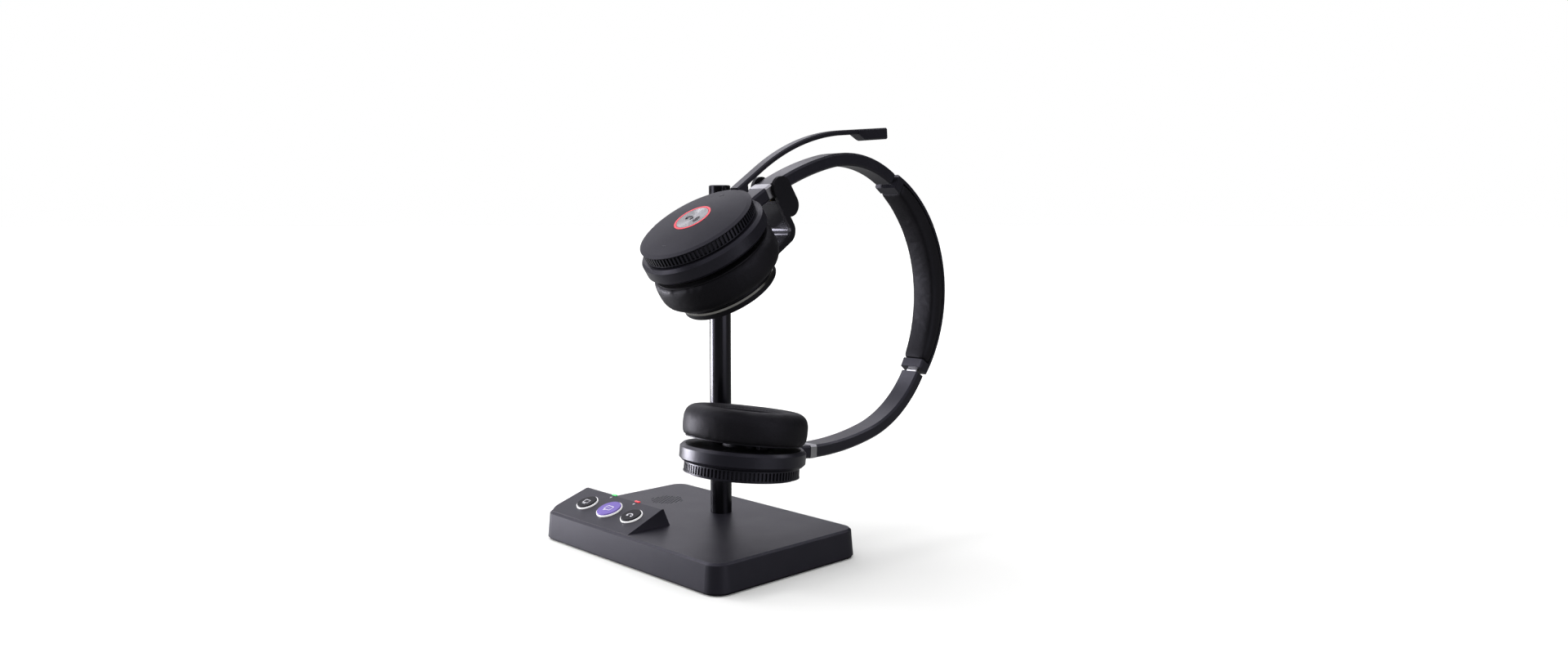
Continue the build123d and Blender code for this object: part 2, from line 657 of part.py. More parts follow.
with BuildPart() as dock_bracket:
    with BuildSketch(Plane.XY.offset(BRACKET_BOTTOM)):
        with Locations((POST_X, POST_Y)):
            Circle(POST_RADIUS + BRACKET_WALL)
        with Locations(BRACKET_FOOT):
            Circle(BRACKET_FOOT_RADIUS)
        make_hull()
        with Locations((POST_X, POST_Y)):
            Circle(POST_RADIUS, mode=Mode.SUBTRACT)
    extrude(amount=BRACKET_TOP - BRACKET_BOTTOM)
    with BuildSketch(UPPER.offset(DISH_BOTTOM)):
        Circle(90)
    extrude(amount=80, mode=Mode.SUBTRACT)
save(dock_bracket.part, "dock_bracket")

# ================================================================ cups
def axis_of(plane):
    """Axis along a cup plane's outward direction, for sorting."""
    return Axis((0, 0, 0), plane.z_dir)


def tube(plane, outer, inner, low, high, mode=Mode.ADD):
    """Round tube or disc on a cup's axis between two heights."""
    with BuildSketch(plane.offset(low)) as ring:
        Circle(outer)
        if inner > 0:
            Circle(inner, mode=Mode.SUBTRACT)
    extrude(ring.sketch, amount=high - low, mode=mode)


def make_housing(plane):
    """Open-backed outer shell of a cup with a round mouth for the hub."""
    with BuildPart() as housing:
        tube(plane, HOUSING_RADIUS, 0, HOUSING_BOTTOM, HOUSING_TOP)
        chamfer(housing.edges().filter_by(GeomType.CIRCLE), HOUSING_CHAMFER)
        tube(
            plane, HOUSING_RADIUS - HOUSING_WALL, 0, HOUSING_BOTTOM + HOUSING_CHAMFER,
            HOUSING_TOP - HOUSING_WALL, Mode.SUBTRACT,
        )
        tube(plane, CLOSING_RADIUS + 0.1, 0, HOUSING_BOTTOM, HOUSING_TOP - 3, Mode.SUBTRACT)
        tube(plane, HUB_RADIUS + 0.05, 0, HOUSING_TOP - 3, HOUSING_TOP, Mode.SUBTRACT)
    return housing.part


def pivot_end(plane, reach):
    """Plane square to the speaker's pivot axis, at a reach from the middle of the cup."""
    return Plane(origin=plane.from_local_coords((-reach, 0, PIVOT_HEIGHT)), z_dir=plane.x_dir)


def make_chassis(plane):
    """Inner frame of a cup: hub tube, floor, closing disc and the two pivot lugs."""
    with BuildPart() as chassis:
        tube(plane, HUB_RADIUS, HUB_RADIUS - HUB_WALL, HOUSING_BOTTOM + 1, RING_TOP)
        tube(plane, HUB_RADIUS - HUB_WALL, 0, RING_BOTTOM - HUB_FLOOR, RING_BOTTOM)
        closing_top = HOUSING_BOTTOM + CLOSING_THICKNESS
        tube(plane, CLOSING_RADIUS, NECK_RADIUS + 1.8, HOUSING_BOTTOM, closing_top)
        for x in (-LUG_PLACE, LUG_PLACE):
            with BuildSketch(plane.offset(HOUSING_BOTTOM + 0.5)):
                with Locations((x, 0)):
                    Rectangle(LUG_THICKNESS, LUG_DEPTH)
            extrude(amount=-LUG_DROP)
        with BuildSketch(pivot_end(plane, PIVOT_REACH)):
            Circle(PIVOT_PIN_RADIUS)
        extrude(amount=2 * PIVOT_REACH, mode=Mode.SUBTRACT)
    return chassis.part


def make_pivot_pin(plane):
    """Pin on which the speaker tilts."""
    with BuildPart() as pin:
        with BuildSketch(pivot_end(plane, PIN_HALF)):
            Circle(PIVOT_PIN_RADIUS)
        extrude(amount=2 * PIN_HALF)
    return pin.part


def make_pan(plane, pin_plane):
    """Speaker back with its neck, bored for the pivot pin."""
    with BuildPart() as pan:
        tube(plane, PAN_RADIUS, DRIVER_RADIUS, PAN_BOTTOM, PAN_TOP)
        tube(plane, DRIVER_RADIUS + 1, NECK_RADIUS - NECK_WALL, PAN_TOP - PAN_STEP, PAN_TOP)
        tube(plane, NECK_RADIUS, NECK_RADIUS - NECK_WALL, PAN_TOP, HOUSING_BOTTOM + 1.4)
        with BuildSketch(pivot_end(pin_plane, PIVOT_REACH)):
            Circle(PIVOT_PIN_RADIUS + PIVOT_CLEARANCE)
        extrude(amount=2 * PIVOT_REACH, mode=Mode.SUBTRACT)
    return pan.part


def make_driver(plane):
    """Loudspeaker capsule: magnet behind, basket and perforated front."""
    with BuildPart() as driver:
        tube(plane, DRIVER_RADIUS - 0.1, 0, DRIVER_BOTTOM, PAN_TOP - PAN_STEP - 0.1)
        with BuildSketch(plane.offset(DRIVER_BOTTOM)):
            Circle(DRIVER_HOLE_RADIUS)
            for ring_radius, hole_count in DRIVER_HOLE_RINGS:
                with PolarLocations(ring_radius, hole_count):
                    Circle(DRIVER_HOLE_RADIUS)
        extrude(amount=DRIVER_HOLE_DEPTH, mode=Mode.SUBTRACT)
    return driver.part


def make_cushion(plane):
    """Ring-shaped ear cushion with a rounded outer edge."""
    with BuildPart() as cushion:
        tube(plane, CUSHION_RADIUS, 0, CUSHION_FACE, PAN_TOP)
        rims = cushion.edges().filter_by(GeomType.CIRCLE).sort_by(axis_of(plane))
        fillet(rims[0], CUSHION_EDGE)
        back_rim = cushion.edges().filter_by(GeomType.CIRCLE).sort_by(axis_of(plane))[-1]
        fillet(back_rim, CUSHION_BACK_EDGE)
        tube(plane, PAN_RADIUS, 0, PAN_BOTTOM, PAN_TOP, Mode.SUBTRACT)
        tube(plane, EAR_RECESS_RADIUS, 0, CUSHION_FACE, PAN_TOP, Mode.SUBTRACT)
    return cushion.part


def cut_ribs(plane, top):
    """Cut the fine upright grooves round a cup's ribbed ring, up to a height."""
    pitch = 360 / RIB_COUNT
    with BuildSketch(plane.offset(RING_BOTTOM + RIB_ROOT)) as grooves:
        with PolarLocations(RING_RADIUS, RIB_COUNT, start_angle=pitch / 2):
            Rectangle(2 * RIB_DEPTH, RIB_GAP)
    extrude(grooves.sketch, amount=top - RING_BOTTOM - RIB_ROOT, mode=Mode.SUBTRACT)


def dome_height(radius, dome):
    """Height of a domed face above its rim at a radius."""
    return dome * (1 - (radius / (FACE_RADIUS - FACE_BEVEL)) ** 2)


def domed_disc(plane, dome):
    """Gently domed outer disc of a cup, with a bevelled rim and an even wall."""
    rim = FACE_RADIUS - FACE_BEVEL
    inside = HUB_RADIUS - 0.5
    half_way = 0.5 * rim
    with BuildSketch(Plane(origin=plane.origin, x_dir=plane.y_dir, z_dir=plane.x_dir)) as section:
        with BuildLine():
            top = ThreePointArc((0, dome), (half_way, dome_height(half_way, dome)), (rim, 0))
            bevel = Polyline(
                top @ 1,
                (FACE_RADIUS, -0.4 * FACE_BEVEL),
                (FACE_RADIUS, -FACE_THICKNESS),
                (inside, -FACE_THICKNESS),
            )
            under = ThreePointArc(
                bevel @ 1,
                (0.5 * inside, dome_height(0.5 * inside, 0.8 * dome) - FACE_THICKNESS),
                (0, dome - FACE_THICKNESS),
            )
            Line(under @ 1, top @ 0)
        make_face()
    revolve(section.sketch, axis=Axis(plane.origin, plane.z_dir))


save(make_housing(UPPER), "upper_housing")
save(make_housing(LOWER), "lower_housing")
save(make_chassis(UPPER), "upper_chassis")
save(make_chassis(LOWER), "lower_chassis")
save(make_pivot_pin(UPPER), "upper_pivot_pin")
save(make_pivot_pin(LOWER), "lower_pivot_pin")
save(make_pan(UPPER_SPEAKER, UPPER), "upper_speaker_pan")
save(make_pan(LOWER_SPEAKER, LOWER), "lower_speaker_pan")
save(make_driver(UPPER_SPEAKER), "upper_driver")
save(make_driver(LOWER_SPEAKER), "lower_driver")
save(make_cushion(UPPER_SPEAKER), "upper_cushion")
save(make_cushion(LOWER_SPEAKER), "lower_cushion")

with BuildPart() as control_board:
    board_top = RING_BOTTOM + 0.1 + BOARD_THICKNESS
    tube(UPPER, BOARD_RADIUS, 0, RING_BOTTOM + 0.1, board_top)
    with BuildSketch(UPPER.offset(board_top)):
        Rectangle(BOARD_SWITCH, BOARD_SWITCH)
    extrude(amount=CALL_SWITCH_HEIGHT)
    with BuildSketch(UPPER.offset(board_top)):
        with Locations((0, -VOLUME_SWITCH_PLACE), (0, VOLUME_SWITCH_PLACE)):
            Rectangle(BOARD_SWITCH, BOARD_SWITCH)
    extrude(amount=VOLUME_SWITCH_HEIGHT)
save(control_board.part, "control_board")

with BuildPart() as volume_plate:
    domed_disc(UPPER, UPPER_DOME)
    tube(UPPER, LIGHT_RING_OUTER, 0, -FACE_THICKNESS, UPPER_DOME + 1, Mode.SUBTRACT)
save(volume_plate.part, "volume_plate")

with BuildPart() as light_ring:
    ring_top = dome_height(LIGHT_RING_OUTER, UPPER_DOME) + 0.1
    tube(UPPER, LIGHT_RING_OUTER, LIGHT_RING_INNER, UPPER_DOME - FACE_THICKNESS, ring_top)
save(light_ring.part, "light_ring")

with BuildPart() as call_button:
    button_top = dome_height(LIGHT_RING_INNER, UPPER_DOME)
    button_bottom = button_top - BUTTON_THICKNESS
    dish_radius = BUTTON_RADIUS - BUTTON_RIM
    tube(UPPER, BUTTON_RADIUS, 0, button_bottom, button_top)
    # shallow dish in the button's top
    with BuildSketch(DOCK_SIDE):
        with BuildLine():
            dish_edge = (dish_radius, button_top)
            half_way = (0.5 * dish_radius, button_top - 0.75 * BUTTON_DISH)
            dish = ThreePointArc((0, button_top - BUTTON_DISH), half_way, dish_edge)
            Polyline(dish_edge, (dish_radius, UPPER_DOME + 1), (0, UPPER_DOME + 1), dish @ 0)
        make_face()
    revolve(axis=Axis(UPPER.origin, UPPER.z_dir), mode=Mode.SUBTRACT)
    tube(UPPER, BUTTON_STEM_RADIUS, 0, BUTTON_STEM_FOOT, button_bottom)
save(call_button.part, "call_button")

with BuildPart() as lower_cover:
    domed_disc(LOWER, LOWER_DOME)
    # flat round centre in place of the call button
    centre_top = dome_height(LIGHT_RING_OUTER, LOWER_DOME) - 0.3
    tube(LOWER, LIGHT_RING_OUTER, 0, -FACE_THICKNESS, LOWER_DOME + 1, Mode.SUBTRACT)
    tube(LOWER, LIGHT_RING_OUTER, 0, centre_top - FACE_THICKNESS, centre_top)
    tube(LOWER, RING_RADIUS, HUB_RADIUS + 0.1, RING_BOTTOM, 0.2 - FACE_THICKNESS)
    cut_ribs(LOWER, -FACE_THICKNESS - 0.3)
save(lower_cover.part, "lower_cover")

with BuildPart() as battery:
    tube(LOWER, BATTERY_RADIUS, 0, HOUSING_BOTTOM + 3.1, RING_BOTTOM - HUB_FLOOR - 0.2)
save(battery.part, "battery")

# ================================================================ arms and band
def arm_solid(side, low, high, half_width):
    """Curved bar from the cup to the band between two offsets from the arm's middle line."""
    with BuildSketch(ARCH) as profile:
        with BuildLine():
            run_centre = (ARM_BEND_ALONG, side * (ARM_BEND_ACROSS + ARM_BEND_RADIUS - ARM_LONG_RADIUS))
            bend_centre = (ARM_BEND_ALONG, side * ARM_BEND_ACROSS)
            start = side * (90 + ARM_LONG_SWEEP)
            outer_run = CenterArc(run_centre, ARM_LONG_RADIUS + high, start, -side * ARM_LONG_SWEEP)
            outer_bend = CenterArc(bend_centre, ARM_BEND_RADIUS + high, side * 90, -side * (90 - ARM_END))
            inner_run = CenterArc(run_centre, ARM_LONG_RADIUS + low, start, -side * ARM_LONG_SWEEP)
            inner_bend = CenterArc(bend_centre, ARM_BEND_RADIUS + low, side * 90, -side * (90 - ARM_END))
            Line(outer_run @ 0, inner_run @ 0)
            Line(outer_bend @ 1, inner_bend @ 1)
        make_face()
    return extrude(profile.sketch, amount=half_width, both=True, mode=Mode.PRIVATE)


def arm_sector(side, low, high, half_width, start, sweep):
    """Short piece of the arm between two angles of its long bend."""
    with BuildSketch(ARCH) as profile:
        with BuildLine():
            centre = (ARM_BEND_ALONG, side * (ARM_BEND_ACROSS + ARM_BEND_RADIUS - ARM_LONG_RADIUS))
            outer = CenterArc(centre, ARM_LONG_RADIUS + high, side * (90 + start), side * sweep)
            inner = CenterArc(centre, ARM_LONG_RADIUS + low, side * (90 + start), side * sweep)
            Line(outer @ 0, inner @ 0)
            Line(outer @ 1, inner @ 1)
        make_face()
    return extrude(profile.sketch, amount=half_width, both=True, mode=Mode.PRIVATE)


def band_sector(low, high, start, sweep, half_width):
    """Piece of the band's ring between two radii and two angles."""
    with BuildSketch(ARCH) as profile:
        with BuildLine():
            outer = CenterArc((BAND_ALONG, 0), high, start, sweep)
            inner = CenterArc((BAND_ALONG, 0), low, start, sweep)
            Line(outer @ 0, inner @ 0)
            Line(outer @ 1, inner @ 1)
        make_face()
    return extrude(profile.sketch, amount=half_width, both=True, mode=Mode.PRIVATE)


def inner_space():
    """Space inside the band: a disc larger than the head side's curve, cut from its parts."""
    with BuildSketch(ARCH) as profile:
        with Locations((BAND_INNER_ALONG, 0)):
            Circle(BAND_INNER)
    return extrude(profile.sketch, amount=BAND_WIDTH, both=True, mode=Mode.PRIVATE)


def tongue_solid(side, gap, extra=0.0):
    """Flat slider tongue across the joint of arm and band, grown by a gap all round."""
    heading = radians(TONGUE_HEADING)
    toward_top = ARCH.x_dir * cos(heading) + ARCH.y_dir * (-side * sin(heading))
    origin = ARCH.from_local_coords((TONGUE_PLACE[0], side * TONGUE_PLACE[1], 0))
    length = TONGUE_IN_ARM + TONGUE_IN_BAND + extra
    with BuildSketch(Plane(origin=origin, x_dir=toward_top, z_dir=(1, 0, 0))) as profile:
        with Locations(((TONGUE_IN_BAND + extra - TONGUE_IN_ARM) / 2, 0)):
            Rectangle(length, TONGUE_THICKNESS + 2 * gap)
    return extrude(profile.sketch, amount=TONGUE_WIDTH / 2 + gap, both=True, mode=Mode.PRIVATE)


def make_arm_cover(side, plane, low, high):
    """Half of an arm's casing, cut to meet the cup, the accent strip and the tongue."""
    with BuildPart() as cover:
        add(arm_solid(side, low, high, ARM_WIDTH / 2))
        visible = high if high > 0 else low
        corner_radii = (ARM_LONG_RADIUS + visible, ARM_BEND_RADIUS + visible)
        curved_edges = cover.edges().filter_by(GeomType.CIRCLE)
        corners = [edge for edge in curved_edges if min(abs(edge.radius - r) for r in corner_radii) < 0.01]
        chamfer(corners, ARM_EDGE)
        tube(plane, HOUSING_RADIUS, 0, HOUSING_BOTTOM - 6, 6, Mode.SUBTRACT)
        add(make_accent(side), mode=Mode.SUBTRACT)
        add(tongue_solid(side, 0.0), mode=Mode.SUBTRACT)
    return cover.part


def make_accent(side):
    """Metal strip let into the arm all round, near the cup."""
    outside = ARM_THICKNESS / 2 + ACCENT_PROUD
    inside = ARM_THICKNESS / 2 - ACCENT_DEPTH
    outer_width = ARM_WIDTH / 2 + ACCENT_PROUD
    inner_width = ARM_WIDTH / 2 - ACCENT_DEPTH
    with BuildPart() as accent:
        add(arm_sector(side, -outside, outside, outer_width, ACCENT_START, ACCENT_SWEEP))
        corners = accent.edges().filter_by(lambda edge: edge.length > 3 and edge.length < 5.2)
        chamfer(corners, ARM_EDGE - 0.2)
        core = arm_sector(side, -inside, inside, inner_width, ACCENT_START - 0.5, ACCENT_SWEEP + 1.0)
        add(core, mode=Mode.SUBTRACT)
    return accent.part


def make_end_cap(side):
    """Rigid end of the padded band, slotted for the tongue."""
    start = BAND_END + 0.1
    half_width = BAND_WIDTH / 2 + CAP_PROUD
    with BuildPart() as cap:
        top = BAND_OUTER + CAP_PROUD
        add(band_sector(BAND_ROOT, top, side * start, side * (CAP_END - start), half_width))
        add(inner_space(), mode=Mode.SUBTRACT)
        chamfer(cap.edges().filter_by(GeomType.CIRCLE), CAP_EDGE)
        add(tongue_solid(side, SLIDE_CLEARANCE, SLIDE_ROOM), mode=Mode.SUBTRACT)
    return cap.part


for side, name, plane in ((1, "upper", UPPER), (-1, "lower", LOWER)):
    save(make_arm_cover(side, plane, 0, ARM_THICKNESS / 2), f"{name}_arm_outer")
    save(make_arm_cover(side, plane, -ARM_THICKNESS / 2, 0), f"{name}_arm_inner")
    save(make_accent(side), f"{name}_accent")
    save(make_end_cap(side), f"{name}_end_cap")
    with BuildPart() as tongue:
        add(tongue_solid(side, 0.0))
    save(tongue.part, f"{name}_tongue")

with BuildPart() as band_shell:
    shell_inside = BAND_OUTER - SHELL_THICKNESS
    add(band_sector(shell_inside, BAND_OUTER, -BAND_END, 2 * BAND_END, BAND_WIDTH / 2))
    chamfer(band_shell.edges().filter_by(GeomType.CIRCLE).sort_by(SortBy.RADIUS)[-2:], SHELL_EDGE)
    for side in (1, -1):
        add(tongue_solid(side, SLIDE_CLEARANCE, SLIDE_ROOM), mode=Mode.SUBTRACT)
save(band_shell.part, "band_shell")

with BuildPart() as band_spring:
    spring_outer = BAND_OUTER - SHELL_THICKNESS
    spring_inner = spring_outer - SPRING_THICKNESS
    add(band_sector(spring_inner, spring_outer, -SPRING_END, 2 * SPRING_END, SPRING_HALF_WIDTH))
save(band_spring.part, "band_spring")

with BuildPart() as band_cushion:
    add(band_sector(BAND_ROOT, BAND_OUTER - SHELL_THICKNESS, -BAND_END, 2 * BAND_END, BAND_WIDTH / 2))
    add(inner_space(), mode=Mode.SUBTRACT)
    curved_edges = band_cushion.edges().filter_by(GeomType.CIRCLE)
    inner_edges = [edge for edge in curved_edges if edge.radius < BAND_INNER + 0.1]
    fillet(inner_edges, CUSHION_INNER_EDGE)
    add(band_spring.part, mode=Mode.SUBTRACT)
    for side in (1, -1):
        add(tongue_solid(side, SLIDE_CLEARANCE, SLIDE_ROOM), mode=Mode.SUBTRACT)
save(band_cushion.part, "band_cushion")

# ================================================================ microphone boom
with BuildPart() as boom_ring:
    tube(UPPER, RING_RADIUS, HUB_RADIUS + 0.25, RING_BOTTOM + 0.1, RING_TOP)
    cut_ribs(UPPER, RING_TOP + 1)
save(boom_ring.part, "boom_ring")

boom_low = BOOM_HEIGHT - BOOM_THICKNESS / 2
boom_high = BOOM_HEIGHT + BOOM_THICKNESS / 2
bend_centre = (BOOM_STRAIGHT_END, BOOM_HEIGHT - BOOM_RADIUS)
with BuildPart() as boom_arm:
    with BuildSketch(DOCK_SIDE):
        with BuildLine():
            upper_run = Line((BOOM_START, boom_high), (BOOM_STRAIGHT_END, boom_high))
            upper_bend = CenterArc(bend_centre, BOOM_RADIUS + BOOM_THICKNESS / 2, 90, -BOOM_BEND)
            lower_bend = CenterArc(bend_centre, BOOM_RADIUS - BOOM_THICKNESS / 2, 90, -BOOM_BEND)
            tail = Line(upper_bend @ 1, (upper_bend @ 1) + BOOM_TAIL * (upper_bend % 1))
            tail_end = Line(tail @ 1, (tail @ 1) + (lower_bend @ 1) - (upper_bend @ 1))
            Line(tail_end @ 1, lower_bend @ 1)
            Polyline(
                lower_bend @ 0,
                (BOOM_KNEE, boom_low),
                (BOOM_KNEE - 1.5, BOOM_FOOT),
                (BOOM_ROOT, BOOM_FOOT),
                (BOOM_ROOT, RING_TOP),
                (BOOM_START, RING_TOP),
                (BOOM_START, boom_high),
            )
        make_face()
    extrude(amount=BOOM_WIDTH / 2, both=True)
    chamfer(boom_arm.edges().filter_by(GeomType.CIRCLE), BOOM_EDGE)
    add(boom_ring.part, mode=Mode.SUBTRACT)
save(boom_arm.part, "boom_arm")

end = radians(90 - BOOM_BEND)
boom_end = Plane(
    origin=DOCK_SIDE.from_local_coords(
        (
            bend_centre[0] + BOOM_RADIUS * cos(end) + BOOM_TAIL * sin(end),
            bend_centre[1] + BOOM_RADIUS * sin(end) - BOOM_TAIL * cos(end),
            0,
        )
    ),
    x_dir=DOCK_SIDE.x_dir * sin(end) + DOCK_SIDE.y_dir * -cos(end),
    z_dir=(1, 0, 0),
)
grille_height = BOOM_THICKNESS / 2 - MIC_DEPTH + MIC_GRILLE_HEIGHT
with BuildPart() as mic_tip:
    with BuildSketch(boom_end):
        with BuildLine():
            Polyline(
                (0, BOOM_THICKNESS / 2),
                (MIC_LENGTH, BOOM_THICKNESS / 2),
                (MIC_LENGTH, BOOM_THICKNESS / 2 - MIC_DEPTH),
                (MIC_RAMP, BOOM_THICKNESS / 2 - MIC_DEPTH),
                (0, -BOOM_THICKNESS / 2),
                close=True,
            )
        make_face()
    extrude(amount=BOOM_WIDTH / 2 + 0.2, both=True)
    chamfer(mic_tip.edges().filter_by(Axis((0, 0, 0), boom_end.x_dir)), MIC_EDGE)
    with BuildSketch(boom_end):
        with Locations((MIC_LENGTH - MIC_GRILLE_FROM_END, grille_height)):
            Rectangle(*MIC_GRILLE)
    extrude(amount=2, both=True, mode=Mode.SUBTRACT)
save(mic_tip.part, "mic_tip")

with BuildPart() as mic_capsule:
    with BuildSketch(boom_end):
        with Locations((MIC_LENGTH - MIC_GRILLE_FROM_END, grille_height + 0.1)):
            Rectangle(*MIC_CAPSULE)
    extrude(amount=1.9, both=True)
save(mic_capsule.part, "mic_capsule")
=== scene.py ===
"""Looks of an office headset on its charging stand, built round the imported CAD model."""

import json
from math import cos, exp, pi, radians, sin

import bpy
from mathutils import Matrix, Vector


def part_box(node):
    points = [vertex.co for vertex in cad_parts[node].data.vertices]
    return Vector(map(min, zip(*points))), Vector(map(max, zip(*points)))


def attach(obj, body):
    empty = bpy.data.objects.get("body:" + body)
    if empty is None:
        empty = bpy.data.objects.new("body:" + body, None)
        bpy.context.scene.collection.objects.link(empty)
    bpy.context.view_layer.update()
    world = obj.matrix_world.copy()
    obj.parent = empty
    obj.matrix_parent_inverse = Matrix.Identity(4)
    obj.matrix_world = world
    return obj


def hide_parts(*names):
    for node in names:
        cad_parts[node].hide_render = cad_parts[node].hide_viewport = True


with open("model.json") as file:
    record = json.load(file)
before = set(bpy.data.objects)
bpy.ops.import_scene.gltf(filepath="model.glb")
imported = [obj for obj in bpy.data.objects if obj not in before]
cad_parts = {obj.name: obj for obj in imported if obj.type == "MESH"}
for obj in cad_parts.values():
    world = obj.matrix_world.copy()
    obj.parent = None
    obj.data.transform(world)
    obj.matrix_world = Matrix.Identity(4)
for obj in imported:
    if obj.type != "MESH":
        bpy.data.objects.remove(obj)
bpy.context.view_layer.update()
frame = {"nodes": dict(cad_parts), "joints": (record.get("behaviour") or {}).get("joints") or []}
JOINTS = {joint["name"]: joint for joint in frame["joints"]}
NODES = frame["nodes"]

# ---------------------------------------------------------------- camera, floor and lights

CAMERA_PLACE = Vector((0.4793, -0.3978, 0.1800))
CAMERA_AIM = Vector((0.0510, 0.0184, 0.1228))
CAMERA_LENS = 26.2
FLOOR_HALF = 40.0
FLOOR_TINT = (0.90, 0.915, 0.845)
FLOOR_BOUNCE = 0.3
FLOOR_ROUGHNESS = 0.9
GLOW_START = 0.15
GLOW_FULL = 0.9
NEAR_GLOW = 0.02
FAR_GLOW = 0.5
ROOM_LEVEL = 0.03
LIGHT_TINT = (0.94, 0.925, 1.0)
OBJECT_MIDDLE = Vector((0.03, 0.02, 0.12))

camera = bpy.data.objects.new("camera", bpy.data.cameras.new("camera"))
bpy.context.scene.collection.objects.link(camera)
camera.location = CAMERA_PLACE
camera.rotation_euler = (CAMERA_AIM - CAMERA_PLACE).to_track_quat("-Z", "Y").to_euler()
camera.data.lens = CAMERA_LENS
camera.data.clip_start = 0.01
bpy.context.scene.camera = camera


def node_material(name):
    """New material with an empty Principled shader; returns it with its tree and shader."""
    material = bpy.data.materials.new(name)
    material.use_nodes = True
    tree = material.node_tree
    return material, tree, tree.nodes["Principled BSDF"]


def add_lamp(light, turn):
    """Tinted lamp for a light, turned by a quaternion."""
    light.color = LIGHT_TINT
    lamp = bpy.data.objects.new(light.name, light)
    bpy.context.scene.collection.objects.link(lamp)
    lamp.rotation_euler = turn.to_euler()
    return lamp


def soft_sun(name, toward, spread, strength):
    """Very wide distant light that comes from a direction; spread is its width in degrees."""
    light = bpy.data.lights.new(name, "SUN")
    light.angle = radians(spread)
    light.energy = strength
    add_lamp(light, Vector(toward).to_track_quat("Z", "Y"))


def soft_box(name, azimuth, elevation, distance, width, height, power):
    """Rectangular soft box that faces the object; azimuth runs from +x towards +y."""
    turn = radians(azimuth)
    lift = radians(elevation)
    away = Vector((cos(turn) * cos(lift), sin(turn) * cos(lift), sin(lift)))
    place = OBJECT_MIDDLE + away * distance
    light = bpy.data.lights.new(name, "AREA")
    light.shape = "RECTANGLE"
    light.size = width
    light.size_y = height
    light.energy = power
    lamp = add_lamp(light, (OBJECT_MIDDLE - place).to_track_quat("-Z", "Y"))
    lamp.location = place


def make_floor():
    """Pale floor that brightens into the white surroundings, and throws little light back."""
    corners = [(-FLOOR_HALF, -FLOOR_HALF, 0), (FLOOR_HALF, -FLOOR_HALF, 0),
               (FLOOR_HALF, FLOOR_HALF, 0), (-FLOOR_HALF, FLOOR_HALF, 0)]
    mesh = bpy.data.meshes.new("floor")
    mesh.from_pydata(corners, [], [(0, 1, 2, 3)])
    floor = bpy.data.objects.new("floor", mesh)
    bpy.context.scene.collection.objects.link(floor)
    material, tree, shader = node_material("pale_floor")
    seen = tree.nodes.new("ShaderNodeLightPath")
    tone = tree.nodes.new("ShaderNodeMix")
    tone.data_type = "RGBA"
    tone.inputs["A"].default_value = (*[FLOOR_BOUNCE * part for part in FLOOR_TINT], 1)
    tone.inputs["B"].default_value = (*FLOOR_TINT, 1)
    tree.links.new(seen.outputs["Is Camera Ray"], tone.inputs["Factor"])
    tree.links.new(tone.outputs["Result"], shader.inputs["Base Color"])
    shader.inputs["Roughness"].default_value = FLOOR_ROUGHNESS
    shader.inputs["Specular IOR Level"].default_value = 0.0
    shader.inputs["Emission Color"].default_value = (1, 1, 1, 1)
    coordinates = tree.nodes.new("ShaderNodeTexCoord")
    reach = tree.nodes.new("ShaderNodeVectorMath")
    reach.operation = "LENGTH"
    glow = tree.nodes.new("ShaderNodeMapRange")
    glow.interpolation_type = "SMOOTHSTEP"
    glow.inputs["From Min"].default_value = GLOW_START
    glow.inputs["From Max"].default_value = GLOW_FULL
    glow.inputs["To Min"].default_value = NEAR_GLOW
    glow.inputs["To Max"].default_value = FAR_GLOW
    tree.links.new(coordinates.outputs["Object"], reach.inputs[0])
    tree.links.new(reach.outputs["Value"], glow.inputs["Value"])
    shown = tree.nodes.new("ShaderNodeMath")
    shown.operation = "MULTIPLY"
    tree.links.new(glow.outputs["Result"], shown.inputs[0])
    tree.links.new(seen.outputs["Is Camera Ray"], shown.inputs[1])
    tree.links.new(shown.outputs["Value"], shader.inputs["Emission Strength"])
    mesh.materials.append(material)


def make_world():
    """White surroundings for the eye, and a dim studio for the light that reaches the object."""
    world = bpy.data.worlds.new("studio")
    world.use_nodes = True
    tree = world.node_tree
    seen = tree.nodes.new("ShaderNodeLightPath")
    level = tree.nodes.new("ShaderNodeMapRange")
    level.inputs["To Min"].default_value = ROOM_LEVEL
    level.inputs["To Max"].default_value = 1.0
    tree.links.new(seen.outputs["Is Camera Ray"], level.inputs["Value"])
    tree.links.new(level.outputs["Result"], tree.nodes["Background"].inputs["Strength"])
    tree.nodes["Background"].inputs["Color"].default_value = (1, 1, 1, 1)
    bpy.context.scene.world = world


bpy.context.scene.view_settings.view_transform = "Standard"
make_floor()
make_world()
soft_sun("overhead", toward=(-0.7, 0.05, 1.0), spread=90, strength=1.9)
soft_sun("fill", toward=(0.3, -0.3, 0.9), spread=90, strength=1.35)

# Name, azimuth, elevation, distance, width, height and power of each box.
SOFT_BOXES = [
    ("left_strip", 238, 6, 1.1, 0.5, 0.7, 4.5),
    ("right_box", 5, 12, 1.1, 0.8, 0.8, 5.0),
    ("front_box", 208, -6, 0.6, 0.3, 0.12, 5.0),
    ("back_box", 136, 42, 1.2, 0.9, 0.4, 1.3),
    ("front_edge_box", 203, 42, 1.2, 0.25, 0.25, 2.2),
    ("end_edge_box", 67, 43, 1.2, 0.25, 0.25, 1.2),
    ("low_back_box", 140, 8, 1.3, 1.2, 0.2, 1.0),
]
for box_row in SOFT_BOXES:
    soft_box(*box_row)

# ---------------------------------------------------------------- materials


NOISE_LOW = 0.3
NOISE_HIGH = 0.7
GRAIN_DETAIL = 3
GLOSS_DETAIL = 4
TONE_DETAIL = 5
SHEEN_TINT = (0.86, 0.85, 1.0, 1)
RING_PITCH = 0.00025


